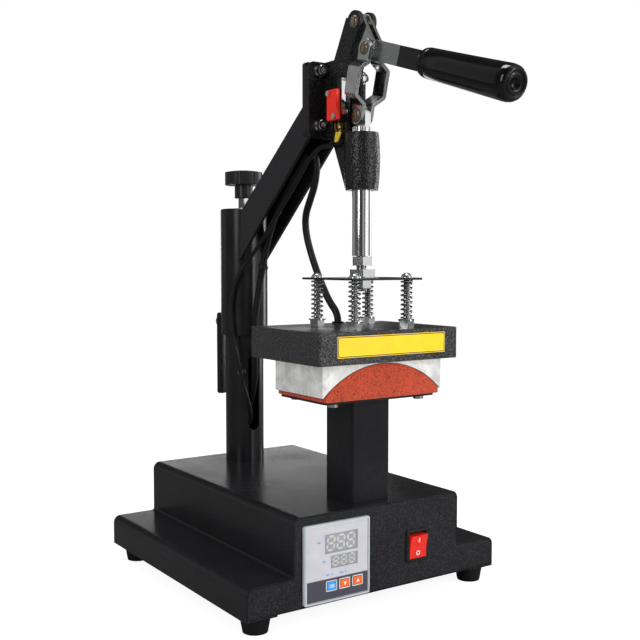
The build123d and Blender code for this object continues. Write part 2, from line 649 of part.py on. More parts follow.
def clamp_plane(z):
    """A plane just outside the sleeve where the clamp lever lies, its Z outwards and its Y up."""
    a = radians(CLAMP_LEVER_AZ)
    seat = SLEEVE_R + CLAMP_LEVER_GAP
    out = (cos(a), sin(a), 0)
    return Plane(origin=(seat * cos(a), COLUMN_Y + seat * sin(a), z), x_dir=(-sin(a), cos(a), 0), z_dir=out)


# ---------------------------------------------------------------- arm
def arm_points(grow_out=0.0):
    """The channel's side view as (y, z) points, its upper edge moved inwards by grow_out."""
    (y0, z0), (y1, z1), (y2, z2), (y3, z3) = ARM_TOP_REAR, ARM_TOP_FRONT, ARM_LOW_FRONT, ARM_LOW_REAR
    slope = atan2(z1 - z0, y0 - y1)
    drop = grow_out / cos(slope)
    return [(y0, up(z0) - drop), (y1, up(z1) - drop), (y2, up(z2)), (y3, up(z3))]


def build_arm():
    outside = side_plate(polygon(*arm_points()), -ARM_HALF_W, ARM_HALF_W)
    (y0, z0), (y1, z1), (y2, z2), (y3, z3) = arm_points(ARM_T)
    hollow = polygon((y0 + ARM_HALF_W, z0 - ARM_HALF_W * (z1 - z0) / (y0 - y1)), (y1 - ARM_T, z1 + ARM_T * (z1 - z0) / (y0 - y1)),
                     (y2 - ARM_T, z2 - 2 * ARM_HALF_W), (y3 + ARM_HALF_W, z3 - 2 * ARM_HALF_W))
    inside = side_plate(hollow, -ARM_HALF_W + ARM_T, ARM_HALF_W - ARM_T)
    arm = outside - inside
    rear = polygon((y0 - 1, z0 + 4 * ARM_T), (y0 + 60, z0 + 4 * ARM_T), (y0 + 60, z3 - 60), (y0 - 1, z3 - 60))
    sleeve = rod_z(SLEEVE_R, 0, COLUMN_Y, up(SLEEVE_LOW), up(SLEEVE_HIGH))
    arm = arm - sleeve
    keep("arm_channel", arm)

    face_y = ARM_TOP_FRONT[0]
    plate = block(-MOUNT_W / 2, MOUNT_W / 2, face_y - END_PLATE_T, face_y, up(MOUNT_LOW) + 1.5, up(MOUNT_HIGH))
    plate = fillet(plate.edges().filter_by(Axis.Y), MOUNT_CORNER_R / 2)
    for x, z in mount_bolts():
        plate = plate - rod_y(MOUNT_BOLT_R, x, face_y - END_PLATE_T - 1, face_y + 1, z)
    keep("arm_end_plate", plate)


def mount_bolts():
    """Middles of the four bolts that hold the toggle body."""
    return [(sx * MOUNT_BOLT_X, up(z)) for sx in (-1, 1) for z in (MOUNT_BOLT_LOW, MOUNT_BOLT_HIGH)]


# ---------------------------------------------------------------- toggle body
LEVER_OUT = BAR_T / 2 + LEVER_PLATE_T
CHEEK_IN = LEVER_OUT + SIDE_GAP
CHEEK_OUT = CHEEK_IN + CHEEK_T
MID_Y, MID_Z = ROD_Y - MID_PIVOT_FORWARD, TOP_PIVOT_Z - MID_PIVOT_DROP
LINK_L = hypot(MID_PIVOT_FORWARD, MID_Z - LOW_PIVOT_Z)
LINK_LEAN = asin(MID_PIVOT_FORWARD / LINK_L)
MOUNT_BACK = ARM_TOP_FRONT[0] - END_PLATE_T
MOUNT_FRONT = MOUNT_BACK - MOUNT_T
STROKE = PLUNGER_PER_RADIAN * radians(HANDLE_RANGE)


def barrel(grow=0.0):
    """The guide's outside: a barrel turned about the rod's axis."""
    mid = (GUIDE_LOW + GUIDE_HIGH) / 2
    bulge = ThreePointArc((GUIDE_LOW_R + grow, up(GUIDE_LOW)), (GUIDE_MID_R + grow, up(mid)), (GUIDE_TOP_R + grow, up(GUIDE_HIGH)))
    outline = make_face(Polyline((GUIDE_TOP_R + grow, up(GUIDE_HIGH)), (0, up(GUIDE_HIGH)), (0, up(GUIDE_LOW)),
                                 (GUIDE_LOW_R + grow, up(GUIDE_LOW))) + bulge)
    return Pos(0, ROD_Y, 0) * revolve(Plane.XZ * outline, Axis.Z)


def cheek_outline():
    """Side view of a cheek in (y, z)."""
    clear_y = ROD_Y + max(ROD_R, LINK_EYE_R) + CHEEK_CLEAR
    high_clear = up(LOW_PIVOT_Z) + STROKE + LINK_EYE_R + CHEEK_CLEAR
    body = polygon(
        (ROD_Y + 12.5, up(TOP_PIVOT_Z + 6)), (ROD_Y - 8.0, up(TOP_PIVOT_Z - 6)), (ROD_Y + 5.5, up(MID_Z + 1.5)),
        (clear_y, high_clear), (clear_y, up(GUIDE_HIGH) - 6), (MOUNT_FRONT + 1, up(GUIDE_HIGH) + 2),
        (MOUNT_FRONT + 1, up(MOUNT_HIGH)), (ROD_Y + 32, up(MOUNT_HIGH)),
    )
    return body + disc(CHEEK_TOP_R, (ROD_Y + 0.8, up(TOP_PIVOT_Z)))


CHEEK_CLEAR = 2.0
SPINE_T = 8.0
RIB_HALF = 5.0


def build_toggle_body():
    cheek = side_plate(cheek_outline(), CHEEK_IN, CHEEK_OUT)
    plate = block(-MOUNT_W / 2, MOUNT_W / 2, MOUNT_FRONT, MOUNT_BACK, up(MOUNT_LOW), up(MOUNT_HIGH))
    plate = fillet(plate.edges().filter_by(Axis.Y), MOUNT_CORNER_R)
    spine = block(-CHEEK_IN - 0.5, CHEEK_IN + 0.5, MOUNT_FRONT - SPINE_T, MOUNT_FRONT + 1, up(MOUNT_LOW) + 4, up(MOUNT_HIGH) - 4)
    clear_y = ROD_Y + max(ROD_R, LINK_EYE_R) + CHEEK_CLEAR
    rib = polygon((ROD_Y + 6, up(GUIDE_LOW) + 1), (ROD_Y + 19, up(GUIDE_LOW) + 1), (ROD_Y + 38.5, up(GUIDE_HIGH) - 9.5),
                  (MOUNT_FRONT + 1, up(GUIDE_HIGH) + 6), (MOUNT_FRONT + 1, up(GUIDE_HIGH) + 20),
                  (clear_y + 6, up(GUIDE_HIGH) + 1), (clear_y, up(GUIDE_HIGH) - 1), (ROD_Y + 6, up(GUIDE_HIGH) - 1))
    body = barrel() + side_plate(rib, -RIB_HALF, RIB_HALF) + plate + spine + cheek + mirrored(cheek)
    body = body - rod_z(ROD_R + ROD_FIT, 0, ROD_Y, up(GUIDE_LOW) - 1, up(GUIDE_HIGH) + 1)
    body = body - rod_x(PIN_R, -CHEEK_OUT - 1, CHEEK_OUT + 1, ROD_Y, up(TOP_PIVOT_Z))
    for x, z in mount_bolts():
        body = body - rod_y(MOUNT_BOLT_R, x, MOUNT_FRONT - 1, MOUNT_BACK + 1, z)
    for y, z in switch_screws():
        body = body - rod_x(SWITCH_SCREW_R, -CHEEK_OUT - 1, -CHEEK_IN + 1, y, z)
    stop_z = up(STOP_SCREW_Z)
    body = body - rod_y(STOP_SCREW_R, 0, MOUNT_FRONT - SPINE_T - 1, MOUNT_BACK + 1, stop_z)
    keep("toggle_body", body)

    head_y = MOUNT_FRONT - SPINE_T
    stop = rod_y(STOP_SCREW_R, 0, head_y, MOUNT_BACK - 1, stop_z) + rod_y(1.7 * STOP_SCREW_R, 0, head_y - 4, head_y, stop_z)
    keep("stop_screw", stop)

    bolts = []
    for x, z in mount_bolts():
        seat = MOUNT_FRONT - WASHER_T
        shank = rod_y(MOUNT_BOLT_R, x, seat, ARM_TOP_FRONT[0], z)
        head = rod_y(MOUNT_HEAD_R, x, seat - MOUNT_HEAD_H, seat, z)
        head = chamfer(head.faces().sort_by(Axis.Y)[0].edges(), 0.6)
        socket = Pos(x, seat - MOUNT_HEAD_H, z) * Rot(90, 0, 0) * extrude(RegularPolygon(2.9, 6), 3.5, both=True)
        bolts.append(head + shank + rod_y(MOUNT_HEAD_R + 1, x, seat, MOUNT_FRONT, z) - socket)
    keep("mount_bolts", *bolts)

    pin = rod_x(PIN_R, -CHEEK_OUT, CHEEK_OUT, ROD_Y, up(TOP_PIVOT_Z))
    keep("top_pivot_pin", pin + pin_heads(CHEEK_OUT, PIN_HEAD_R, ROD_Y, up(TOP_PIVOT_Z)))


STOP_SCREW_Z = 468.0
STOP_SCREW_R = 2.5
WASHER_T = 1.2


def pin_heads(half, r, y, z):
    """The two rounded heads of a riveted pin."""
    heads = []
    for side in (-1, 1):
        head = rod_x(r, side * half, side * (half + PIN_HEAD_T), y, z) if side > 0 else rod_x(r, -half - PIN_HEAD_T, -half, y, z)
        rim = head.faces().sort_by(Axis.X)[-1 if side > 0 else 0].edges()
        heads.append(chamfer(rim, PIN_HEAD_T * 0.6))
    return heads[0] + heads[1]


# ---------------------------------------------------------------- lever and handle
def along_handle(reach, sideways=0.0):
    """A point (y, z) on the handle's axis, by its distance from the middle pivot."""
    a = radians(HANDLE_DROP)
    return (MID_Y - reach * cos(a) - sideways * sin(a), up(MID_Z) - reach * sin(a) + sideways * cos(a))


def handle_plane(reach):
    """A plane across the handle, its Z outwards along the handle."""
    a = radians(HANDLE_DROP)
    y, z = along_handle(reach)
    return Plane(origin=(0, y, z), x_dir=(1, 0, 0), z_dir=(0, -cos(a), -sin(a)))


def build_lever():
    top, mid = (ROD_Y, up(TOP_PIVOT_Z)), (MID_Y, up(MID_Z))
    outline = make_hull((disc(LEVER_TOP_R, top) + disc(LEVER_MID_R, mid)).edges())
    plate = side_plate(outline, BAR_T / 2, LEVER_OUT)
    plate = plate - rod_x(PIN_R + PIN_FIT, 0, 2 * LEVER_OUT, *top) - rod_x(PIN_R, 0, 2 * LEVER_OUT, *mid)
    keep("lever_plates", plate, mirrored(plate))

    a = radians(HANDLE_DROP)
    end = GRIP_START + GRIP_CORE
    low, high = along_handle(0, -BAR_H / 2), along_handle(0, BAR_H / 2)
    far_high, far_low = along_handle(end, BAR_H / 2), along_handle(end, -BAR_H / 2)
    bar = side_plate(polygon(low, high, far_high, far_low), -BAR_T / 2, BAR_T / 2)
    bar = bar + rod_x(BAR_H / 2, -BAR_T / 2, BAR_T / 2, *mid)
    keep("handle_bar", bar - rod_x(PIN_R, -BAR_T, BAR_T, *mid))

    r0, r1, long = GRIP_R_INNER, GRIP_R_OUTER, GRIP_LENGTH
    side = FilletPolyline((0, 0), (r0, 0), (r1, long), (GRIP_RECESS_R, long), (GRIP_RECESS_R, long - GRIP_RECESS), (0, long - GRIP_RECESS),
                          radius=(GRIP_ROUND, GRIP_ROUND, 0, 0))
    turned = revolve(Plane.XZ * make_face(side + Line((0, long - GRIP_RECESS), (0, 0))), Axis.Z)
    grip = handle_plane(GRIP_START) * turned
    core = handle_plane(GRIP_START - 1) * extrude(Rectangle(BAR_T, BAR_H), GRIP_CORE + 1)
    dimple = handle_plane(GRIP_START + long - GRIP_RECESS) * Cone(3.4, 0.2, 3.0, align=(Align.CENTER, Align.CENTER, Align.MIN)).mirror(Plane.XY)
    keep("handle_grip", grip - core - dimple)

    pin = rod_x(PIN_R, -LINK_EYE_OUT, LINK_EYE_OUT, *mid)
    keep("middle_pivot_pin", pin + pin_heads(LINK_EYE_OUT, PIN_HEAD_R, *mid))


LINK_EYE_IN = LEVER_OUT + SIDE_GAP
LINK_EYE_OUT = LINK_EYE_IN + LINK_T


# ---------------------------------------------------------------- links
def link_point(s, across=0.0):
    """A point (y, z) at a distance along the link from the middle pivot."""
    return (MID_Y + s * sin(LINK_LEAN) + across * cos(LINK_LEAN), up(MID_Z) - s * cos(LINK_LEAN) + across * sin(LINK_LEAN))


def build_links():
    s1, s2, s3, s4 = LINK_BENDS
    out = LINK_BULGE_X
    top, bottom = -LINK_EYE_R - 1, LINK_L + LINK_EYE_R + 1
    low_out = LOW_EYE_INNER + LINK_T
    outer = [(LINK_EYE_OUT, top), (LINK_EYE_OUT, s1), (out, s2), (out, s3), (low_out, s4), (low_out, bottom)]
    slant = LINK_T * 0.45
    inner = [(LOW_EYE_INNER, bottom), (LOW_EYE_INNER, s4 - slant), (out - LINK_T, s3 - slant),
             (out - LINK_T, s2 + slant), (LINK_EYE_IN, s1 + slant), (LINK_EYE_IN, top)]
    front = FilletPolyline(*outer, radius=(3.0, 4.5, 4.5, 3.0))
    back = FilletPolyline(*inner, radius=(3.0, 1.5, 1.5, 3.0))
    profile = make_face(front + Line(outer[-1], inner[0]) + back + Line(inner[-1], outer[0]))
    lean = Plane(origin=(0, MID_Y, up(MID_Z)), x_dir=(1, 0, 0), z_dir=(0, cos(LINK_LEAN), sin(LINK_LEAN)))
    strap = lean * extrude(profile, LINK_W / 2 + 1, both=True)
    low = (ROD_Y, up(LOW_PIVOT_Z))
    mid = (MID_Y, up(MID_Z))
    edge = LINK_W / 2
    sides = polygon(link_point(0, -edge), link_point(0, edge), link_point(LINK_L, edge), link_point(LINK_L, -edge))
    mask = sides + disc(LINK_EYE_R, mid) + disc(LOW_EYE_R, low)
    strap = strap & side_plate(mask, 0, out + 1)
    strap = strap - rod_x(PIN_R + PIN_FIT, 0, out, *mid)
    strap = strap - rod_x(LOW_EYE_HOLE_R, 0, out, low[0] + EYE_OFFSET_Y, low[1])
    keep("links", strap, mirrored(strap))


# ---------------------------------------------------------------- plunger
def build_plunger():
    low_z = up(LOW_PIVOT_Z)
    rod = rod_z(ROD_R, 0, ROD_Y, up(ROD_LOW), up(ROD_TOP))
    ribs_low = up(GUIDE_HIGH) + 1.2
    for i in range(RIB_COUNT):
        a = 2 * pi * i / RIB_COUNT
        groove = rod_z(RIB_DEPTH, ROD_R * cos(a), ROD_Y + ROD_R * sin(a), ribs_low, up(ROD_TOP) + 1)
        rod = rod - groove
    tongue = polygon((ROD_Y - TONGUE_R, up(ROD_TOP) - 3), (ROD_Y + TONGUE_R, up(ROD_TOP) - 3),
                     (ROD_Y + TONGUE_R, low_z), (ROD_Y - TONGUE_R, low_z)) + disc(TONGUE_R, (ROD_Y, low_z))
    tongue = side_plate(tongue, -TONGUE_T / 2, TONGUE_T / 2) & rod_z(2 * TONGUE_R, 0, ROD_Y, up(ROD_TOP) - 0.5, low_z + 2 * TONGUE_R)
    stud_low = up(SPRING_PLATE_TOP) - SPRING_PLATE_T - UNDER_NUT_H - 3
    rod = rod + tongue + rod_z(STUD_R, 0, ROD_Y, stud_low, up(ROD_LOW) + 1)
    rod = rod - rod_x(LOW_PIN_R, -TONGUE_T, TONGUE_T, ROD_Y, low_z)
    keep("plunger_rod", rod)

    half = LOW_EYE_INNER + LINK_T + SIDE_GAP
    pin = rod_x(LOW_PIN_R, -half, half, ROD_Y, low_z)
    keep("lower_pivot_pin", pin + pin_heads(half, LOW_PIN_HEAD_R, ROD_Y, low_z))

    bore = rod_z(STUD_R, 0, ROD_Y, stud_low - 5, up(ROD_LOW) + 5)
    upper_high = up(ROD_LOW) - 0.6
    upper = hex_z(UPPER_NUT_AF, 0, ROD_Y, upper_high - UPPER_NUT_H, upper_high)
    lower_high = up(SPRING_PLATE_TOP) + LOWER_NUT_H
    lower = hex_z(LOWER_NUT_AF, 0, ROD_Y, up(SPRING_PLATE_TOP), lower_high)
    under_high = up(SPRING_PLATE_TOP) - SPRING_PLATE_T
    under = hex_z(UNDER_NUT_AF, 0, ROD_Y, under_high - UNDER_NUT_H, under_high)
    keep("plunger_nuts", upper - bore, lower - bore, under - bore)

    half = SPRING_PLATE_W / 2
    plate = block(-half, half, ROD_Y - half, ROD_Y + half, under_high, up(SPRING_PLATE_TOP))
    plate = fillet(plate.edges().filter_by(Axis.Z), 2.0) - bore
    for x, y in platen_bolts():
        plate = plate - rod_z(BOLT_R + 0.08, x, y, under_high - 1, up(SPRING_PLATE_TOP) + 1)
    keep("spring_plate", plate)


def platen_bolts():
    """Middles of the four guide bolts of the platen."""
    p = BOLT_PITCH / 2
    return [(sx * p, ROD_Y + sy * p) for sx in (-1, 1) for sy in (-1, 1)]


# ---------------------------------------------------------------- platen
def pad_arc(grow):
    """Radius and centre height of the pad's crown, grown outwards."""
    half = PAD_W / 2
    r = (half**2 + PAD_RISE**2) / (2 * PAD_RISE)
    crown = LOWER_PLATE_LOW + LOWER_PLATE_T + PAD_EDGE_H + PAD_RISE
    return r + grow, up(crown) - r


def build_platen():
    y0, y1 = HOUSING_Y - HOUSING_D / 2, HOUSING_Y + HOUSING_D / 2
    half = HOUSING_W / 2
    low, high = up(HOUSING_LOW), up(HOUSING_HIGH)
    cover = block(-half, half, y0, y1, low, high)
    cover = fillet(cover.edges().filter_by(Axis.Z), HOUSING_CORNER_R)
    cover = fillet(cover.faces().sort_by(Axis.Z)[-1].edges(), 1.2)
    t = HOUSING_T
    cover = cover - block(-half + t, half - t, y0 + t, y1 - t, low - 1, high - t)
    for x, y in platen_bolts():
        cover = cover - rod_z(BOLT_R, x, y, high - t - 1, high + 1)
    gx, gy = GLAND_PLACE
    cover = cover - rod_z(GLAND_R, gx, gy, high - t - 1, high + 1)
    keep("platen_cover", cover)

    bx, by0, by1 = HEAT_BLOCK_W / 2, HEAT_BLOCK_Y - HEAT_BLOCK_D / 2, HEAT_BLOCK_Y + HEAT_BLOCK_D / 2
    r, centre_z = pad_arc(PAD_CLEAR)
    heat = block(-bx, bx, by0, by1, up(HEAT_BLOCK_LOW), up(HEAT_BLOCK_HIGH))
    heat = heat - rod_y(r, 0, by0 - 1, by1 + 1, centre_z)
    pad_side = PAD_W / 2 + PAD_CLEAR
    lip_high = up(LOWER_PLATE_LOW + LOWER_PLATE_T + PAD_EDGE_H) + PAD_CLEAR
    heat = heat - block(-pad_side, pad_side, by0 - 1, by1 + 1, up(HEAT_BLOCK_LOW) - 1, lip_high)
    for x, y, z in heater_places():
        heat = heat - rod_y(HEATER_R, x, by0 + 6, by1 + 1, z)
    for x, y in platen_bolts():
        heat = heat - rod_z(BOLT_R, x, y, up(HEAT_BLOCK_HIGH) - BOLT_BITE, up(HEAT_BLOCK_HIGH) + 1)
    keep("heating_block", heat)
    keep("heater_elements", *[rod_y(HEATER_R, x, by0 + 6, by1 + 3, z) for x, y, z in heater_places()])

    gap = INSULATION_GAP
    board_high, board_low = high - t, up(HEAT_BLOCK_HIGH)
    board = block(-half + t + gap, half - t - gap, y0 + t + gap, y1 - t - gap, board_low, board_high)
    frame = block(-half + t + gap, half - t - gap, y0 + t + gap, y1 - t - gap, low + 1, board_low + 1)
    frame = frame - block(-bx - gap, bx + gap, by0 - gap, by1 + 4 + gap, low, board_low)
    board = board + frame
    for x, y in platen_bolts():
        board = board - rod_z(BOLT_R, x, y, board_low - 1, board_high + 1)
    keep("insulation_board", board - rod_z(GLAND_R, gx, gy, board_high - GLAND_DEEP, board_high + 1))

    bolts, nuts, springs = [], [], []
    head_low = up(SPRING_PLATE_TOP)
    for x, y in platen_bolts():
        shank = rod_z(BOLT_R, x, y, up(HEAT_BLOCK_HIGH) - BOLT_BITE, head_low + 1)
        head_r = (BOLT_HEAD_R**2 + BOLT_HEAD_H**2) / (2 * BOLT_HEAD_H)
        dome = Pos(x, y, head_low + BOLT_HEAD_H - head_r) * Sphere(head_r)
        bolts.append(shank + (rod_z(BOLT_HEAD_R, x, y, head_low, head_low + BOLT_HEAD_H) & dome))
        nut_high = high + BASE_NUT_H
        nut = hex_z(BASE_NUT_AF, x, y, high, nut_high) + rod_z(BASE_FLANGE_R, x, y, nut_high - BASE_FLANGE_H, nut_high)
        nuts.append(nut - rod_z(BOLT_R, x, y, high - 1, nut_high + 1))
        springs.append(spring(x, y, high + BASE_NUT_H, up(SPRING_PLATE_TOP) - SPRING_PLATE_T))
    keep("platen_bolts", *bolts)
    keep("base_nuts", *nuts)
    keep("platen_springs", *springs)

    front = y0
    label_z = (low + high) / 2 + LABEL_RAISE
    keep("blank_label", panel_box(LABEL_X, label_z, LABEL_W, LABEL_H, front - LABEL_T, front))
    collar = rod_z(GLAND_R + GLAND_RIM, gx, gy, high, high + GLAND_H)
    keep("cable_grommet", collar + rod_z(GLAND_R, gx, gy, high - t - GLAND_DEEP, high))


BOLT_BITE = 6.0
LABEL_X = 1.5
LABEL_RAISE = 1.2
GLAND_PLACE = (17.5, -52.6)
GLAND_R = 4.8
GLAND_RIM = 1.2
GLAND_H = 1.5
GLAND_DEEP = 2.0


def heater_places():
    """Middles of the two rod heaters: (x, y, z)."""
    return [(sx * HEATER_X, HEAT_BLOCK_Y, up(HEAT_BLOCK_HIGH) - HEATER_DROP) for sx in (-1, 1)]


HEATER_X = 48.0
HEATER_DROP = 16.0


def spring(x, y, z0, z1):
    """An open coil spring between two faces, its ends ground flat."""
    mean = SPRING_R - SPRING_WIRE / 2
    wire = SPRING_WIRE / 2
    low, high = z0 + wire * 0.7, z1 - wire * 0.7
    pitch = (high - low) / SPRING_TURNS
    path = Helix(pitch=pitch, height=high - low, radius=mean)
    section = Plane(origin=path.position_at(0), z_dir=path.tangent_at(0)) * Circle(wire)
    coil = Pos(x, y, low) * sweep(section, path=path, is_frenet=True)
    space = rod_z(2 * SPRING_R, x, y, z0, z1)
    if (x, y) == platen_bolts()[0]:
        print("spring gap between curls", round(pitch * cos(atan2(pitch, 2 * pi * mean)) - SPRING_WIRE, 2))
    return coil & space


# ---------------------------------------------------------------- lower platen
def build_lower_platen():
    half, y = PILLAR_W / 2, PILLAR_Y
    plate_low = up(LOWER_PLATE_LOW)
    pillar = block(-half, half, y - half, y + half, SHELL_TOP, plate_low)
    pillar = fillet(pillar.edges().filter_by(Axis.Z), 3.0)
    inner = half - PILLAR_WALL
    keep("pillar", pillar - block(-inner, inner, y - inner, y + inner, SHELL_TOP - 1, plate_low + 1))

    plate_high = plate_low + LOWER_PLATE_T
    plate = block(-LOWER_PLATE_W / 2, LOWER_PLATE_W / 2, y - LOWER_PLATE_D / 2, y + LOWER_PLATE_D / 2, plate_low, plate_high)
    plate = fillet(plate.edges().filter_by(Axis.Z), 3.0)
    pad_y = HEAT_BLOCK_Y
    r, centre_z = pad_arc(0)
    pad = block(-PAD_W / 2, PAD_W / 2, pad_y - PAD_D / 2, pad_y + PAD_D / 2, plate_high, plate_high + PAD_EDGE_H + PAD_RISE)
    pad = pad & (rod_y(r, 0, pad_y - PAD_D, pad_y + PAD_D, centre_z))
    bolts = []
    for x, dy in pad_bolts():
        shank = rod_z(PAD_BOLT_R, x, y + dy, plate_low, plate_high + 4)
        bolts.append(shank + rod_z(PAD_HEAD_R, x, y + dy, plate_low - PAD_HEAD_H, plate_low))
        plate = plate - rod_z(PAD_BOLT_R, x, y + dy, plate_low - 1, plate_high + 1)
        pad = pad - rod_z(PAD_BOLT_R, x, y + dy, plate_high - 1, plate_high + 4)
    keep("lower_plate", plate)
    keep("silicone_pad", pad)
    keep("pad_bolts", *bolts)


def pad_bolts():
    """Offsets of the four bolts under the lower plate."""
    return [(sx * PAD_BOLT_X, sy * PAD_BOLT_Y) for sx in (-1, 1) for sy in (-1, 1)]


# ---------------------------------------------------------------- microswitch
def switch_screws():
    """Middles (y, z) of the switch's two screws, on a diagonal."""
    y, z = SWITCH_FRONT_Y, up(SWITCH_LOW)
    return [(y + SWITCH_D - 2.8, z + SWITCH_H - 3.2), (y + 2.8, z + 3.2)]


def build_microswitch():
    y0, y1 = SWITCH_FRONT_Y, SWITCH_FRONT_Y + SWITCH_D
    z0, z1 = up(SWITCH_LOW), up(SWITCH_LOW) + SWITCH_H
    inner, outer = -CHEEK_OUT, -CHEEK_OUT - SWITCH_T
    joint = outer + SWITCH_COVER_T
    case = block(joint, inner, y0, y1, z0, z1)
    cover = fillet(block(outer, joint, y0, y1, z0, z1).edges().filter_by(Axis.X), 1.0)
    lever_x = inner - SWITCH_T / 2 + SWITCH_LEVER_INWARD
    cover_cut = []
    for y, z in switch_screws():
        case = case - rod_x(SWITCH_SCREW_R, outer - 1, inner + 1, y, z)
        cover_cut.append(rod_x(SWITCH_SCREW_R, outer - 1, joint + 1, y, z))
    cover = cover - cover_cut[0] - cover_cut[1]
    plunger_z = (z0 + z1) / 2 + 4
    post_z = up(SWITCH_LEVER_TOP) - 3
    hinge_y = y0 - SWITCH_LEVER_GAP - SWITCH_LEVER_T / 2
    ear_front = hinge_y + SWITCH_LEVER_T / 2 + SWITCH_EAR_GAP
    ear = block(lever_x - 1.5, lever_x + 1.5, ear_front, y0 + 6, z1 - 1, post_z + 2.2)
    ear = ear - block(lever_x - 2, lever_x + 2, ear_front - 1, y0, z1 - 2, z1 + 2)
    ear = ear - rod_x(SWITCH_KNUCKLE_R + SWITCH_KNUCKLE_GAP, lever_x - 2, lever_x + 2, hinge_y, post_z)
    case = case + rod_y(1.4, lever_x, y0 - SWITCH_BUTTON, y0 + 1, plunger_z)
    case = case + ear
    for y in (y0 + 2.5, y0 + 7.3, y0 + 12.1):
        case = case + block(lever_x - 2.4, lever_x + 2.4, y, y + 0.8, z0 - 8, z0 + 1)
    keep("switch_case", case)
    keep("switch_cover", cover)
    keep("switch_screws", *[rod_x(SWITCH_SCREW_R, outer, -CHEEK_IN - 0.5, y, z) + rod_x(2.6, outer - 1.8, outer, y, z)
                            for y, z in switch_screws()])
    strip = block(lever_x - SWITCH_LEVER_W / 2, lever_x + SWITCH_LEVER_W / 2, hinge_y - SWITCH_LEVER_T / 2,
                  hinge_y + SWITCH_LEVER_T / 2, up(SWITCH_LEVER_LOW), post_z + 2.0)
    roller_z = up(SWITCH_LEVER_LOW) - 0.5
    roller = rod_x(ROLLER_R, lever_x - 1.6, lever_x + 1.6, hinge_y - ROLLER_R - 0.1, roller_z)
    fork = block(lever_x - SWITCH_LEVER_W / 2, lever_x - SWITCH_LEVER_W / 2 + 0.6, hinge_y - 3.4, hinge_y, roller_z - 1.6, roller_z + 3)
    fork2 = block(lever_x + SWITCH_LEVER_W / 2 - 0.6, lever_x + SWITCH_LEVER_W / 2, hinge_y - 3.4, hinge_y, roller_z - 1.6, roller_z + 3)
    pin = rod_x(0.6, lever_x - SWITCH_LEVER_W / 2, lever_x + SWITCH_LEVER_W / 2, hinge_y - ROLLER_R - 0.1, roller_z)
    knuckle = rod_x(SWITCH_KNUCKLE_R, lever_x - SWITCH_LEVER_W / 2, lever_x + SWITCH_LEVER_W / 2, hinge_y, post_z)
    keep("switch_lever", strip + fork + fork2 + pin + roller + knuckle)
    print("switch lever hinge", round(lever_x, 2), round(hinge_y, 2), round(post_z, 2))


# ---------------------------------------------------------------- cables
CABLE_JOIN = (0, -16.7, 427.8)  # under the arm, where the stretch to the platen begins
UPPER_CABLE = [
    CABLE_JOIN, (0, -23, 433.5), (0.3, -32, 433.2), (0.8, -38.2, 426.7), (1.4, -38.4, 415.5), (2.4, -33.5, 401),
    (4, -22.5, 386.5), (6, -10, 371), (8, -8.5, 353), (9.8, -14, 334), (12.2, -22, 314), (14, -31, 297.5),
    (15.6, -40, 283), (17.5, -52.6, 270.8), (17.5, -52.6, 263),
]
LOWER_CABLE = [
    CABLE_JOIN, (0, -7.25, 419.25), (-1, 8, 404.5), (-1.5, 24, 388), (-1.5, 38, 371), (-1.5, 50, 352),
    (-2, 59, 329), (-3, 66, 303), (-5, 70.5, 277), (-7, 73, 250), (-5, 76, 223), (-2, 80, 199), (0, 88, 179),
    (1.5, 97, 160), (3, 104, 138), (4, 107, 112), (4, 106.5, 88), (2, 104, 66), (0, 102, 46),
]
SWITCH_CABLE = [
    (-12.4, -93.5, 446), (-12.4, -91, 439), (-11, -79, 434.5), (-10, -62, 436), (-10, -42, 426), (-10, -18, 404),
    (-10, 14, 377), (-10, 44, 352), (-11, 70, 330), (-20, 83, 312), (-26, 88, 292), (-28, 90, 270), (-27, 88, 245),
    (-24, 84, 222), (-20.5, 81, 202), (-16, 80.5, 184), (-8.5, 81, 163), (-2.5, 87, 146), (-4, 97, 133),
    (-10, 106, 119), (-11, 110, 100), (-10, 111, 80), (-8, 110, 60), (-8, 107, 46),
]


def tie_ring(at, heading, r):
    """A cable tie: a flat band round a cable, with its lock."""
    band = Cylinder(r + TIE_T, TIE_W) - Cylinder(r, TIE_W)
    lock = Pos(r + TIE_T + 1.2, 0, 0) * Box(3.2, 4.5, TIE_W)
    return Plane(origin=at, z_dir=heading) * (band + lock)


TIE_T, TIE_W = 1.2, 3.6


def between(a, b, share):
    """A point between two points, and the direction from one to the other."""
    return tuple(p + share * (q - p) for p, q in zip(a, b)), tuple(q - p for p, q in zip(a, b))


def build_cables():
    upper_tie = tie_ring(*between(LOWER_CABLE[1], LOWER_CABLE[2], 0.5), HEATER_CABLE_R)
    lower_tie = tie_ring(*between(LOWER_CABLE[6], LOWER_CABLE[7], 0.4), HEATER_CABLE_R)
    keep("cable_ties", upper_tie, lower_tie)
    keep("heater_cable_upper", cable("heater_cable_upper", UPPER_CABLE, HEATER_CABLE_R))
    keep("heater_cable_lower", cable("heater_cable_lower", LOWER_CABLE, HEATER_CABLE_R))
    keep("switch_cable", cable("switch_cable", SWITCH_CABLE, SWITCH_CABLE_R))


# ---------------------------------------------------------------- all of it
build_base()
build_controller()
build_rocker()
build_electrics()
build_column()
build_adjuster()
build_arm()
build_toggle_body()
build_lever()
build_links()
build_plunger()
build_platen()
build_lower_platen()
build_microswitch()
build_cables()

os.makedirs("parts", exist_ok=True)
for name, shape in NODES.items():
    export_step(shape, f"parts/{name}.step")
print(len(NODES), "nodes")
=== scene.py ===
"""The looks of a cap heat press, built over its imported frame."""

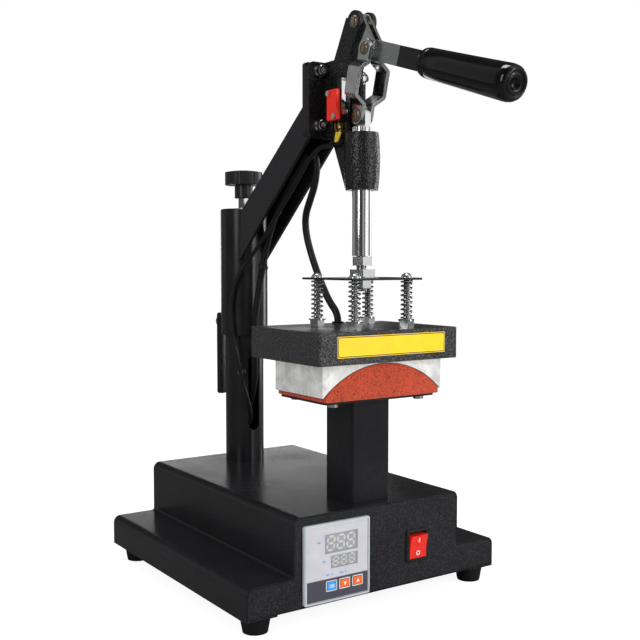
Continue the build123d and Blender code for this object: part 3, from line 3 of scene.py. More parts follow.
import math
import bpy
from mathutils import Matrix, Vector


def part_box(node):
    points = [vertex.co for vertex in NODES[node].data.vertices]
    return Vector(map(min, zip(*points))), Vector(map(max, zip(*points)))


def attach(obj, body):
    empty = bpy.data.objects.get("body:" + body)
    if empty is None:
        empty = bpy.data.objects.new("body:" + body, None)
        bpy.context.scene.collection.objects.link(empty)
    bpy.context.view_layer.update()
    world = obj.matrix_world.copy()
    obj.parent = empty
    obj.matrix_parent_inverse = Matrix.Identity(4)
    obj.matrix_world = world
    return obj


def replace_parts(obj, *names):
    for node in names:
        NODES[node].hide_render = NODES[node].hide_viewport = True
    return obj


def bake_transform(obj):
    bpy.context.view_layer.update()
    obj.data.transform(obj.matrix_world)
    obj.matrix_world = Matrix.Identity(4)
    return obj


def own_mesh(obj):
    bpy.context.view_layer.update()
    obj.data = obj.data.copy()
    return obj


bl_info = {
    "name": "Cap Heat Press",
    "version": (1, 0, 0),
    "blender": (4, 5, 0),
    "location": "View3D > Sidebar > Press",
    "description": "Finishes, leads, pad, markings and stage of a cap heat press",
    "category": "Add Mesh",
}

import bmesh
import bpy
from bpy.props import FloatProperty, FloatVectorProperty, IntProperty, PointerProperty
from mathutils import Matrix, Vector

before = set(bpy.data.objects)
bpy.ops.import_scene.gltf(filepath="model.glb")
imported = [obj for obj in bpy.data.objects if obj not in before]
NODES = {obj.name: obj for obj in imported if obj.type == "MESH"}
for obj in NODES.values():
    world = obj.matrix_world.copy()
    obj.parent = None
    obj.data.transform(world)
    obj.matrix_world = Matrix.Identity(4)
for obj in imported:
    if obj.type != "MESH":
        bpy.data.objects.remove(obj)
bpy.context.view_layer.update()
MM = 0.001

# sizes and places are in millimetres unless a comment says otherwise; the front is at low Y
FORWARD = Matrix.Rotation(math.pi / 2, 4, "X")  # turns a piece's own Z to the front
PLUNGER_Y = -116.0
HANDLE_PIVOT = (0.0, -131.5, 517.9)
HANDLE_DROP = math.radians(18.1)
DIP_START = 43.0  # where the bar's rubber dip begins, along the handle from its pivot
GRIP_START = 80.0  # and where the grip begins


# ---------------------------------------------------------------- colours and sizes
def tone(red, green, blue):
    """A colour read as 0 to 255 on a screen, as the linear colour that a shader takes."""
    linear = []
    for value in (red, green, blue):
        share = value / 255
        linear.append(share / 12.92 if share <= 0.04045 else ((share + 0.055) / 1.055) ** 2.4)
    return tuple(linear)


def colour(label, words, *screen):
    return FloatVectorProperty(
        name=label, description=words, subtype="COLOR", size=3, min=0, max=1, default=tone(*screen)
    )


def distance(label, words, value):
    return FloatProperty(name=label, description=words, default=value * MM, unit="LENGTH")


class PRESS_PG_colours(bpy.types.PropertyGroup):
    coat: colour("Powder coat", "Base, arm and pillar", 27, 27, 30)
    cover: colour("Platen cover", "Coarse textured coat of the platen cover", 27, 27, 29)
    casting: colour("Casting", "Paint on the toggle's casting", 13, 13, 15)
    rubber: colour("Rubber", "Feet and leads", 20, 20, 22)
    grip: colour("Grip", "Dipped handle grip", 8, 8, 10)
    bezel: colour("Controller", "Bezel of the temperature controller", 196, 202, 206)
    panel: colour("Controller face", "Face of the temperature controller", 198, 197, 204)
    strip: colour("Key strip", "Dark strip round the controller's keys", 74, 72, 84)
    window: colour("Windows", "Display windows of the controller", 158, 159, 162)
    segment: colour("Segments", "Unlit display segments", 198, 199, 201)
    blue_key: colour("Blue key", "First key of the controller", 60, 160, 240)
    orange_key: colour("Orange keys", "Second and third keys", 248, 104, 28)
    rocker: colour("Rocker", "Rocker switch", 228, 36, 22)
    label: colour("Label", "Blank label on the platen cover", 244, 206, 14)
    label_edge: colour("Label edge", "Line round the label", 52, 48, 84)
    silicone: colour("Silicone", "Domed pad", 201, 78, 50)
    zinc: colour("Zinc plate", "Bolts, nuts, links and springs", 214, 215, 216)
    steel: colour("Rolled steel", "Bare stretch of the handle bar", 172, 173, 174)
    brass: colour("Brass", "Terminals of the microswitch", 198, 168, 92)
    sleeve: colour("Sleeves", "Sleeves on the microswitch terminals", 226, 196, 40)
    chrome: colour("Chrome", "Plunger rod", 222, 222, 224)
    pin: colour("Pins", "Pivot pins", 172, 158, 138)
    block: colour("Aluminium", "Heated block", 226, 226, 224)
    floor: colour("Floor", "Floor of the stage", 244, 244, 244)


class PRESS_PG_sizes(bpy.types.PropertyGroup):
    heater_lead: distance("Heater lead", "Thickness of the heater lead", 7.4)
    switch_lead: distance("Switch lead", "Thickness of the switch lead", 4.4)
    spring_wire: distance("Spring wire", "Thickness of the spring wire", 1.7)
    spring_turns: IntProperty(
        name="Spring turns", description="Open turns of each spring", default=8, min=3, max=20
    )
    pad_edge: distance("Pad edge", "Rounding of the pad's cut edges", 0.7)
    label_line: distance("Label line", "Width of the line round the label", 0.7)
    digit_slant: FloatProperty(
        name="Digit slant", description="Lean of the display digits", default=math.radians(6), subtype="ANGLE"
    )


# ---------------------------------------------------------------- finishes
AT_FINE, AT_CLOUD = (-1000, -300), (-1000, 200)  # places in the node editor
MIX_SHARE, MIX_FIRST, MIX_SECOND, MIX_RESULT = 0, 6, 7, 2  # sockets of a node that mixes colours
VALUE_FIRST, VALUE_SECOND = 2, 3  # and of one that mixes numbers


def fill(made, inputs):
    """Gives each input of a node its value, or a link from another socket."""
    for key, value in inputs.items():
        if isinstance(value, bpy.types.NodeSocket):
            made.id_data.links.new(value, made.inputs[key])
        else:
            made.inputs[key].default_value = value


def node(tree, kind, at, inputs=None, **settings):
    """A node at a place in the editor."""
    made = tree.nodes.new(kind)
    made.location = at
    for key, value in settings.items():
        setattr(made, key, value)
    fill(made, inputs or {})
    return made


def start_finish(name):
    """A new material with its shader, and the object coordinates that its patterns follow."""
    made = bpy.data.materials.new(name)
    made.use_nodes = True
    tree = made.node_tree
    coordinates = node(tree, "ShaderNodeTexCoord", (-1400, 0)).outputs["Object"]
    return made, tree, tree.nodes["Principled BSDF"], coordinates


def stretched(tree, vector, scale):
    return node(tree, "ShaderNodeMapping", (-1200, 0), {"Vector": vector, "Scale": scale}).outputs["Vector"]


def speck(tree, vector, scale, detail, roughness, at, distortion=0.0):
    """A noise pattern."""
    inputs = {"Vector": vector, "Scale": scale, "Detail": detail, "Roughness": roughness}
    return node(tree, "ShaderNodeTexNoise", at, {**inputs, "Distortion": distortion}).outputs["Fac"]


def spread(tree, value, low, high, to_low, to_high, at=(-800, 0)):
    """A value drawn from one range to another."""
    inputs = {"Value": value, "From Min": low, "From Max": high, "To Min": to_low, "To Max": to_high}
    return node(tree, "ShaderNodeMapRange", at, inputs).outputs["Result"]


def tint(tree, share, first, second, at=(-500, 200), blend="MIX"):
    """One colour into another by a share; each is a colour or a socket that gives one."""
    inputs = {MIX_SHARE: share}
    for key, value in ((MIX_FIRST, first), (MIX_SECOND, second)):
        inputs[key] = value if isinstance(value, bpy.types.NodeSocket) else (*value, 1)
    return node(tree, "ShaderNodeMix", at, inputs, data_type="RGBA", blend_type=blend).outputs[MIX_RESULT]


def scaled(base, factor):
    return tuple(min(1.0, value * factor) for value in base)


def blotched(tree, pattern, base, dark, light, low=0.3, high=0.7):
    """A colour that a pattern makes darker and lighter in patches."""
    return tint(tree, spread(tree, pattern, low, high, 0, 1), scaled(base, dark), scaled(base, light))


def surface(shader, body, metal, worn, rough, height, depth, strength, edge=0.0):
    """Colour, metal, roughness between two values by a pattern, and relief with softly shaded edges."""
    tree = shader.id_data
    bump = {"Height": height, "Distance": depth * MM, "Strength": strength}
    if edge:
        soft = node(tree, "ShaderNodeBevel", (-500, -500), {"Radius": edge * MM}, samples=4)
        bump["Normal"] = soft.outputs["Normal"]
    fill(shader, {
        "Base Color": body,
        "Metallic": metal,
        "Roughness": spread(tree, worn, 0.3, 0.7, *rough, (-800, -100)),
        "Normal": node(tree, "ShaderNodeBump", (-300, -300), bump).outputs["Normal"],
    })


# painted glints: the light colour of specks that stand in for the sparkle of a textured coat
PAINTED_GLINT = tone(112, 110, 108)


def coated(name, base, grain, depth, strength, rough, glint_share=0.0, glint_size=700, edge=0.6, shine=0.22):
    """Powder coat or paint: a fine orange peel, uneven gloss, and light specks that are painted glints for the
    coat's sparkle.
    """
    made, tree, shader, vector = start_finish(name)
    peel = speck(tree, vector, grain, 2.0, 0.55, AT_FINE)
    cloud = speck(tree, vector, 14.0, 4.0, 0.6, AT_CLOUD)
    body = blotched(tree, cloud, base, 0.82, 1.22, 0.35, 0.65)
    # painted glints: light specks mixed into the colour in place of the coat's sparkle
    if glint_share:
        glint_spots = speck(tree, vector, glint_size, 3.0, 0.6, (-1000, 500))
        body = tint(tree, spread(tree, glint_spots, 0.5, 0.66, 0, glint_share, (-800, 500)), body, PAINTED_GLINT, (-300, 300))
    surface(shader, body, 0.0, cloud, rough, peel, depth, strength, edge)
    fill(shader, {"Specular IOR Level": shine})
    return made


def plated(name, base, rough, streak=(1, 1, 1), grain=900, depth=0.01, strength=0.3, shade=0.12, edge=0.0):
    """Bare or plated metal: drawn streaks, small stains and softened edges."""
    made, tree, shader, vector = start_finish(name)
    lines = speck(tree, stretched(tree, vector, streak), grain, 3.0, 0.6, AT_FINE)
    stains = speck(tree, vector, 45.0, 5.0, 0.65, AT_CLOUD)
    body = blotched(tree, stains, base, 1 - shade, 1 + shade / 2)
    surface(shader, body, 1.0, lines, rough, lines, depth, strength, edge)
    return made


def moulded(
    name, base, rough, grain=1400, depth=0.01, strength=0.3, coat=0.0, edge=0.4, shade=0.05, shine=0.5
):
    """Moulded plastic or rubber: faint mould grain and handling marks."""
    made, tree, shader, vector = start_finish(name)
    fine = speck(tree, vector, grain, 2.0, 0.5, AT_FINE)
    marks = speck(tree, vector, 60.0, 4.0, 0.6, AT_CLOUD)
    body = blotched(tree, marks, base, 1 - shade, 1 + shade)
    surface(shader, body, 0.0, marks, rough, fine, depth, strength, edge)
    fill(shader, {"Specular IOR Level": shine, "Coat Weight": coat, "Coat Roughness": 0.12})
    return made


WAVE_ONCE = math.pi * 2 / 20  # the scale of a wave pattern that repeats once in a length of one


def threaded(name, base, pitch, top, rough=(0.16, 0.3)):
    """Plated thread up to a height in metres, with painted shade in its grooves, and a smooth shank or head above
    it.
    """
    made, tree, shader, vector = start_finish(name)
    inputs = {"Vector": vector, "Scale": WAVE_ONCE / (pitch * MM), "Distortion": 0.0}
    rings = node(tree, "ShaderNodeTexWave", AT_FINE, inputs, bands_direction="Z").outputs["Fac"]
    up = node(tree, "ShaderNodeSeparateXYZ", (-1200, -500), {"Vector": vector}).outputs["Z"]
    cut = node(tree, "ShaderNodeMath", (-1000, -500), {0: up, 1: top}, operation="LESS_THAN").outputs[0]
    inputs = {MIX_SHARE: cut, VALUE_FIRST: 1.0, VALUE_SECOND: rings}
    groove = node(tree, "ShaderNodeMix", (-800, -400), inputs).outputs[0]
    # painted shade: the thread's grooves darkened to about a third of the metal's colour
    body = tint(tree, groove, scaled(base, 0.35), base)
    stains = speck(tree, vector, 80.0, 4.0, 0.6, AT_CLOUD)
    surface(shader, body, 1.0, stains, rough, groove, 0.3, 0.7)
    return made


def machined_block(name, base):
    """Sawn and blasted aluminium: cloudy patches and a fine blasted grain."""
    made, tree, shader, vector = start_finish(name)
    patches = speck(tree, vector, 52.0, 7.0, 0.72, AT_CLOUD, 0.3)
    grit = speck(tree, vector, 1800, 2.0, 0.6, AT_FINE)
    body = blotched(tree, patches, base, 0.7, 1.15, 0.36, 0.62)
    surface(shader, body, 0.25, patches, (0.62, 0.42), grit, 0.04, 0.5, 0.5)
    return made


def sponge(name, base):
    """Cut silicone sponge: open pores, with painted shade in their hollows."""
    made, tree, shader, vector = start_finish(name)
    inputs = {"Vector": vector, "Scale": 430, "Randomness": 1.0}
    pores = node(tree, "ShaderNodeTexVoronoi", AT_FINE, inputs).outputs["Distance"]
    fine = speck(tree, vector, 480, 5.0, 0.75, (-1000, -600))
    cloud = speck(tree, vector, 30.0, 4.0, 0.6, AT_CLOUD)
    joined = node(tree, "ShaderNodeMath", (-800, -400), {
        0: spread(tree, pores, 0.1, 0.6, 0, 0.5, (-900, -450)),
        1: spread(tree, fine, 0.38, 0.6, 0, 0.6, (-900, -650)),
    }, operation="ADD").outputs[0]
    # painted shade: the pores and fine hollows darkened to under half the silicone's colour
    pore_shade = spread(tree, joined, 0.2, 0.75, 0, 1, (-700, -400))
    body = tint(tree, pore_shade, scaled(base, 0.42), scaled(base, 1.08))
    wear = tint(tree, spread(tree, cloud, 0.35, 0.65, 0, 1), (0.7, 0.66, 0.64), (1, 1, 1), (-500, 500))
    body = tint(tree, 0.35, body, wear, (-300, 300), "MULTIPLY")
    surface(shader, body, 0.0, cloud, (0.72, 0.9), joined, 0.8, 0.9)
    return made


def dipped_bar(name, steel, rubber, start, drop):
    """The handle bar: bare rolled steel that turns into a rubber dip from a place on, in metres."""
    made, tree, shader, vector = start_finish(name)
    inputs = {"Vector": vector, "Location": start, "Rotation": (drop, 0, 0)}
    along = node(tree, "ShaderNodeMapping", (-1200, 0), inputs, vector_type="TEXTURE").outputs["Vector"]
    along = node(tree, "ShaderNodeSeparateXYZ", (-1000, 0), {"Vector": along}).outputs["Y"]
    ragged = speck(tree, vector, 160, 2.0, 0.5, (-1000, 400))
    inputs = {0: ragged, 1: 3.0 * MM, 2: along}
    reach = node(tree, "ShaderNodeMath", (-800, 100), inputs, operation="MULTIPLY_ADD").outputs[0]
    bare = spread(tree, reach, 1.2 * MM, 1.6 * MM, 0, 1, (-600, 100))
    lines = speck(tree, stretched(tree, vector, (1, 0.08, 0.6)), 500, 3.0, 0.6, AT_FINE)
    surface(shader, tint(tree, bare, rubber, steel), bare, lines, (0.24, 0.36), lines, 0.02, 0.4, 0.6)
    return made


FINISHES = {}
ROD_FOOT = 20.2  # from the spring plate's top up to the ground part of the plunger rod
OVER_ALL = 1.0  # a height in metres that is above the whole press


def lay_finishes(colours):
    """Every finish of the press, by its name."""
    plate_low, plate_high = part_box("spring_plate")
    dip = [(at - DIP_START * along) * MM for at, along in zip(
        HANDLE_PIVOT, (0, math.cos(HANDLE_DROP), math.sin(HANDLE_DROP))
    )]
    FINISHES.update(
        coat=coated(
            "Black powder coat", colours.coat, 1100, 0.07, 0.6, (0.18, 0.3), glint_share=0.03, glint_size=900
        ),
        coat_fine=coated(
            "Fine black paint", scaled(colours.coat, 0.8), 1500, 0.03, 0.3, (0.2, 0.3), shine=0.4
        ),
        panel=coated(
            "Textured front panel", scaled(colours.coat, 1.1), 1100, 0.2, 0.8, (0.28, 0.42), glint_share=0.2,
            glint_size=900,
        ),
        cover=coated(
            "Coarse platen coat", colours.cover, 620, 0.4, 0.95, (0.24, 0.4), glint_share=0.8, glint_size=800,
            edge=0.8, shine=0.4,
        ),
        casting=coated(
            "Painted casting", colours.casting, 430, 1.1, 0.95, (0.12, 0.22), glint_share=0.1, edge=0.0, shine=0.5
        ),
        board=coated("Insulation board", tone(205, 198, 176), 500, 0.2, 0.6, (0.8, 0.9), edge=0.0),
        rubber=moulded("Black rubber", colours.rubber, (0.5, 0.7), 900, 0.03, 0.4, edge=0.8, shine=0.25),
        lead=moulded("Lead sheath", colours.rubber, (0.34, 0.46), 1600, strength=0.25, edge=0.0, shine=0.3),
        grip=moulded(
            "Dipped vinyl", colours.grip, (0.06, 0.14), 700, strength=0.15, edge=1.2, shade=0.2, shine=0.4
        ),
        knob=moulded("Black knob plastic", scaled(colours.coat, 1.1), (0.3, 0.44), 900, 0.03, 0.4, edge=1.2),
        bezel=moulded("Controller bezel", colours.bezel, (0.36, 0.46), 1500),
        face=moulded("Controller face", colours.panel, (0.3, 0.38), 1500, strength=0.2),
        strip=moulded("Key strip", colours.strip, (0.3, 0.4), 1500, strength=0.2),
        window=moulded("Display window", colours.window, (0.16, 0.24), 900, strength=0.1, coat=0.4),
        segment=moulded("Display segment", colours.segment, (0.4, 0.5)),
        white=moulded("White print", tone(236, 238, 240), (0.4, 0.5)),
        blue_key=moulded("Blue key", colours.blue_key, (0.32, 0.4)),
        orange_key=moulded("Orange key", colours.orange_key, (0.32, 0.4)),
        rocker=moulded("Red rocker", colours.rocker, (0.2, 0.3), 900, strength=0.2, coat=0.3),
        # painted light: the rocker's red made lighter for the switch cover, to make up for the shade on its side
        switch_red=moulded("Red switch cover", scaled(colours.rocker, 1.08), (0.3, 0.42)),
        black_plastic=moulded("Black plastic", tone(22, 22, 24), (0.36, 0.5)),
        # painted highlight: the black ties' cut tails made light grey where they catch the light
        tie=moulded("Tie tail painted highlight", tone(150, 148, 152), (0.2, 0.3), 900, strength=0.2),
        label=moulded("Label film", colours.label, (0.32, 0.42), 1200, strength=0.15, coat=0.05),
        label_edge=moulded("Label line", colours.label_edge, (0.34, 0.44)),
        sleeve=moulded("Terminal sleeves", colours.sleeve, (0.3, 0.4), 900, strength=0.2, coat=0.3),
        zinc=plated("Zinc plate", colours.zinc, (0.1, 0.2), depth=0.004, shade=0.16),
        links=plated(
            "Pressed steel links", scaled(colours.zinc, 0.85), (0.12, 0.24), (1, 1, 0.12), 500, 0.008,
            shade=0.25, edge=0.9,
        ),
        spring=plated("Spring wire", colours.zinc, (0.1, 0.2), depth=0.003),
        pin=plated("Pivot pins", colours.pin, (0.2, 0.34), grain=700, shade=0.18, edge=0.3),
        brass=plated("Brass terminals", colours.brass, (0.24, 0.36), grain=600, strength=0.35, edge=0.4),
        thread=threaded("Bolt thread", colours.zinc, 1.0, plate_low.z),
        screw_thread=threaded("Height screw thread", colours.zinc, 1.5, OVER_ALL),
        chrome=threaded(
            "Ground rod and its stud", colours.chrome, 1.25, plate_high.z + ROD_FOOT * MM, (0.06, 0.14)
        ),
        block=machined_block("Heated block", colours.block),
        silicone=sponge("Silicone sponge", colours.silicone),
        bar=dipped_bar("Dipped steel bar", colours.steel, scaled(colours.grip, 1.2), dip, HANDLE_DROP),
    )


WEARS = {
    "coat": "base_shell rear_panel bottom_plate pillar arm_channel arm_end_plate clamp_lever",
    "panel": "front_panel",
    "coat_fine": "column_post column_sleeve spring_plate lower_plate",
    "cover": "platen_cover",
    "casting": "toggle_body",
    "rubber": "rubber_feet cable_grommet",
    "bezel": "controller_case",
    "face": "controller_face",
    "window": "display_windows",
    "blue_key": "set_button",
    "orange_key": "down_button up_button",
    "black_plastic": "power_inlet solid_state_relay switch_case cable_ties rocker_housing",
    "knob": "height_knob",
    "rocker": "rocker_key",
    "switch_red": "switch_cover",
    "zinc": (
        "foot_screws column_screw clamp_screw jam_nut stop_screw mount_bolts "
        "plunger_nuts base_nuts pad_bolts switch_screws switch_lever heater_elements"
    ),
    "thread": "platen_bolts",
    "screw_thread": "height_screw",
    "links": "links lever_plates",
    "bar": "handle_bar",
    "pin": "top_pivot_pin middle_pivot_pin lower_pivot_pin",
    "chrome": "plunger_rod",
    "grip": "handle_grip",
    "block": "heating_block",
    "board": "insulation_board",
    "label": "blank_label",
    "silicone": "silicone_pad",
    "lead": "heater_cable_upper heater_cable_lower switch_cable",
    "spring": "platen_springs",
}


# ---------------------------------------------------------------- modelling helpers
def add(name, data):
    """An object in the scene."""
    made = bpy.data.objects.new(name, data)
    bpy.context.scene.collection.objects.link(made)
    return made


def place(at=(0, 0, 0), turn=None, size=(1, 1, 1)):
    """A matrix from a place, a turn and a size."""
    moved = Matrix.Translation(Vector(at) * MM)
    return moved @ (turn or Matrix.Identity(4)) @ Matrix.Diagonal((*[s * MM for s in size], 1))


def box_of(name):
    """A made piece's two corners."""
    return [[v / MM for v in corner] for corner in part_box(name)]


def facing(way, up):
    """The turn that brings a piece's Z along a heading."""
    return way.to_track_quat("Z", up).to_matrix().to_4x4()


def slab(bm, low, high):
    """A block between two corners."""
    middle = [(a + b) / 2 for a, b in zip(low, high)]
    size = [b - a for a, b in zip(low, high)]
    return bmesh.ops.create_cube(bm, size=1, matrix=place(middle, None, size))["verts"]


def thin_slab(bm, low, high, front, back, edge=0.0):
    """A thin block that faces the front, between two corners given by X and Z."""
    verts = slab(bm, (low[0], front, low[1]), (high[0], back, high[1]))
    if edge:
        soften(bm, verts, edge, 1)


def border(left, right, bottom, top, line):
    """The four bars of a frame, each by its corners."""
    return (
        ((left, bottom), (right, bottom + line)), ((left, top - line), (right, top)),
        ((left, bottom), (left + line, top)), ((right - line, bottom), (right, top)),
    )


def drum(bm, radius, length, at, turn=None, segments=32, top=None):
    """A round bar or cone along its own Z."""
    made = bmesh.ops.create_cone(
        bm, cap_ends=True, segments=segments, radius1=radius, radius2=radius if top is None else top, depth=length,
        matrix=place(at, turn),
    )
    return made["verts"]


def bevel(bm, edges, width, segments, clamp=False):
    """Rounds edges, or cuts them flat with one segment."""
    bmesh.ops.bevel(
        bm, geom=edges, offset=width * MM, segments=segments, profile=0.5, affect="EDGES", clamp_overlap=clamp,
        material=-1,
    )


def edges_of(verts):
    return list({e for v in verts for e in v.link_edges})


def soften(bm, verts, width, segments=2):
    """Rounds every edge of the given vertices."""
    bevel(bm, edges_of(verts), width, segments, True)


def finish_piece(name, bm, finish, body, replaced=(), smooth=35):
    """Turns a bmesh into a piece that rides on a body."""
    bmesh.ops.recalc_face_normals(bm, faces=bm.faces)
    mesh = bpy.data.meshes.new(name)
    bm.to_mesh(mesh)
    bm.free()
    mesh.materials.append(FINISHES[finish])
    piece = add(name, mesh)
    smooth_edges(piece, smooth)
    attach(piece, body)
    if replaced:
        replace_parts(piece, *replaced)
    return piece


def smooth_edges(piece, angle):
    """Shades a piece smooth, apart from edges that are sharper than an angle in degrees."""
    for polygon in piece.data.polygons:
        polygon.use_smooth = True
    piece.data.set_sharp_from_angle(angle=math.radians(angle))


# ---------------------------------------------------------------- operators
class PRESS_OT_finishes(bpy.types.Operator):
    """Lay the finishes on the pieces that keep their made shape"""

    bl_idname = "press.finishes"
    bl_label = "Finishes"

    def execute(self, context):
        lay_finishes(context.scene.press_colours)
        for finish, names in WEARS.items():
            for name in names.split():
                piece = NODES[name]
                piece.data.materials.clear()
                piece.data.materials.append(FINISHES[finish])
        return {"FINISHED"}


PAD_EDGE = 5.5  # height of the pad's straight sides
PAD_SWELL = 0.6  # how far the sponge stands over the made shape
PAD_STEPS = 40
PAD_CORNER = 0.5  # radians; a sharper edge is a cut one and is rounded


class PRESS_OT_silicone_pad(bpy.types.Operator):
    """Domed silicone pad with soft cut edges"""

    bl_idname = "press.silicone_pad"
    bl_label = "Silicone pad"

    def execute(self, context):
        low, high = box_of("silicone_pad")
        half, top = high[0], high[2] + PAD_SWELL
        rise = top - low[2] - PAD_EDGE
        radius = (half**2 + rise**2) / (2 * rise)
        sweep = 2 * math.asin(half / radius)
        middle = Vector((0, low[1], top - radius)) * MM
        bm = bmesh.new()
        first = bm.verts.new(Vector((-half, low[1], low[2] + PAD_EDGE)) * MM)
        bmesh.ops.spin(bm, geom=[first], cent=middle, axis=(0, 1, 0), angle=sweep, steps=PAD_STEPS)
        for side in (1, -1):
            bm.verts.new(Vector((side * half, low[1], low[2])) * MM)
        bm.verts.ensure_lookup_table()
        face = bm.faces.new(bm.verts)
        pushed = bmesh.ops.extrude_face_region(bm, geom=[face])
        verts = [g for g in pushed["geom"] if isinstance(g, bmesh.types.BMVert)]
        bmesh.ops.translate(bm, verts=verts, vec=(0, (high[1] - low[1]) * MM, 0))
        corners = [e for e in bm.edges if e.calc_face_angle(0) > PAD_CORNER]
        bevel(bm, corners, context.scene.press_sizes.pad_edge / MM, 3)
        pad = finish_piece("silicone_pad_cut", bm, "silicone", "base", ["silicone_pad"])
        return {"FINISHED"}


# the grip's outline as radius and distance along it: shoulder, thumb groove, swell, rolled end, ring and dimple
GRIP_OUTLINE = (
    (0, 0), (9.6, 0), (11.6, 0.6), (12.7, 2.2), (13.05, 4.6), (13.1, 7.4), (12.7, 8.4), (13.15, 9.6), (13.5, 30),
    (14.1, 62), (14.8, 94), (14.99, 101), (14.9, 104.4), (14.4, 107.4), (13.3, 109.7), (11.9, 110.8), (10.8, 111),
    (10.0, 110.5), (9.4, 109.7), (8.8, 109.7), (8.2, 110.3), (6.8, 110.5), (5.4, 110.1), (4.4, 109.2),
    (3.6, 107.8), (2.2, 106.8), (0, 106.5),
)


class PRESS_OT_grip(bpy.types.Operator):
    """Dipped grip with a rolled end, a ring and a dimple"""

    bl_idname = "press.grip"
    bl_label = "Handle grip"

    def execute(self, context):
        bm = bmesh.new()
        chain = [bm.verts.new(Vector((radius, 0, along)) * MM) for radius, along in GRIP_OUTLINE]
        edges = [bm.edges.new(pair) for pair in zip(chain, chain[1:])]
        bmesh.ops.spin(
            bm, geom=chain + edges, cent=(0, 0, 0), axis=(0, 0, 1), angle=2 * math.pi, steps=72, use_merge=True
        )
        bmesh.ops.remove_doubles(bm, verts=bm.verts, dist=0.00001)
        ahead = Vector((0, -math.cos(HANDLE_DROP), -math.sin(HANDLE_DROP)))
        start = Matrix.Translation((Vector(HANDLE_PIVOT) + ahead * GRIP_START) * MM)
        bmesh.ops.transform(bm, verts=bm.verts, matrix=start @ facing(ahead, "X"))
        finish_piece("handle_grip_dipped", bm, "grip", "lever", ["handle_grip"], 50)
        return {"FINISHED"}


SPRING_PLACES = [(sx * 30.2, PLUNGER_Y + sy * 30.2) for sx in (-1, 1) for sy in (-1, 1)]
SPRING_LOW, SPRING_HIGH, SPRING_MEAN = 269.5, 306.4, 5.15  # foot, head and radius to the wire's middle
SPRING_STEPS = 20  # in each turn
SPRING_CLOSED = 0.8  # turns that lie flat at each end


class PRESS_OT_springs(bpy.types.Operator):
    """Four coil springs with closed ends"""

    bl_idname = "press.springs"
    bl_label = "Springs"

    def execute(self, context):
        sizes = context.scene.press_sizes
        wire = sizes.spring_wire / MM
        height = SPRING_HIGH - SPRING_LOW
        turns_open = sizes.spring_turns - 2 * SPRING_CLOSED + 1
        pitch = (height - wire - 2 * SPRING_CLOSED * wire) / turns_open
        bm = bmesh.new()
        for x, y in SPRING_PLACES:
            start = place((x + SPRING_MEAN, y, SPRING_LOW + wire / 2), FORWARD)
            ring = bmesh.ops.create_circle(bm, cap_ends=True, segments=10, radius=wire / 2, matrix=start)["verts"]
            geom = [*ring, *edges_of(ring), *{f for v in ring for f in v.link_faces}]
            for turns, climb in ((SPRING_CLOSED, wire), (turns_open, pitch), (SPRING_CLOSED, wire)):
                count = round(turns * SPRING_STEPS)
                spun = bmesh.ops.spin(
                    bm, geom=geom, cent=Vector((x, y, 0)) * MM, axis=(0, 0, 1),
                    dvec=(0, 0, climb * turns / count * MM), angle=turns * 2 * math.pi, steps=count,
                )
                geom = spun["geom_last"]
        piece = finish_piece(
            "platen_spring_coils", bm, "spring", "plunger", ["platen_springs"], 80
        )
        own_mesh(piece)
        return {"FINISHED"}


JOIN = (0, -16.7, 427.8)  # where the heater lead's two stretches meet
UPPER_ROUTE = [
    JOIN, (0, -23, 433.5), (0.3, -32, 433.2), (0.8, -38.2, 426.7), (1.4, -38.4, 415.5), (2.4, -33.5, 401),
    (4, -22.5, 386.5), (6, -10, 371), (8, -8.5, 353), (9.8, -14, 334), (12.2, -22, 314), (14, -31, 297.5),
    (15.6, -40, 283), (17.5, -52.6, 270.8), (17.5, -52.6, 263),
]
LOWER_ROUTE = [
    JOIN, (0, -7.25, 419.25), (-1, 8, 404.5), (-1.5, 24, 388), (-1.5, 38, 371), (-1.5, 50, 352),
    (-2, 59, 329), (-3, 66, 303), (-5, 70.5, 277), (-7, 73, 250), (-5, 76, 223), (-2, 80, 199), (0, 88, 179),
    (1.5, 97, 160), (3, 104, 138), (4, 107, 112), (4, 106.5, 88), (2, 104, 66), (0, 102, 46),
]
SWITCH_ROUTE = [
    (-12.4, -93.5, 446), (-12.4, -91, 439), (-11, -79, 434.5), (-10, -62, 436), (-10, -42, 426), (-10, -18, 404),
    (-10, 14, 377), (-10, 44, 352), (-11, 70, 330), (-20, 83, 312), (-26, 88, 292), (-28, 90, 270),
    (-27, 88, 245), (-24, 84, 222), (-20.5, 81, 202), (-16, 80.5, 184), (-8.5, 81, 163), (-2.5, 87, 146),
    (-4, 97, 133), (-10, 106, 119), (-11, 110, 100), (-10, 111, 80), (-8, 110, 60), (-8, 107, 46),
]
# name, made piece, route and size; then, in metres, the length, and where the bend between two bodies runs
LEADS = (
    ("heater_lead_upper", "heater_cable_upper", UPPER_ROUTE, "heater_lead",
     0.2100, ("head", "plunger"), (0, 0, 0.425), (0, 0, 0.275)),
    ("heater_lead_lower", "heater_cable_lower", LOWER_ROUTE, "heater_lead",
     0.4165, ("base", "head"), (0, 0, 0.16), (0, 0, 0.33)),
    ("switch_lead", "switch_cable", SWITCH_ROUTE, "switch_lead",
     0.5092, ("base", "head"), (0, 0, 0.15), (0, 0, 0.32)),
)


def line_of(name, route):
    """A smooth line with the route's points as its control points, and the points that it passes."""
    curve = bpy.data.curves.new(name + "_line", "CURVE")
    curve.dimensions = "3D"
    spline = curve.splines.new("NURBS")
    spline.points.add(len(route) - 1)
    for point, at in zip(spline.points, route):
        point.co = (*(Vector(at) * MM), 1)
    spline.order_u = 3
    spline.use_endpoint_u = True
    spline.resolution_u = 10
    holder = add(name + "_line", curve)
    bpy.context.view_layer.update()
    bare = bpy.data.meshes.new_from_object(holder)
    points = [tuple(v.co) for v in bare.vertices]
    bpy.data.meshes.remove(bare)
    return curve, holder, points


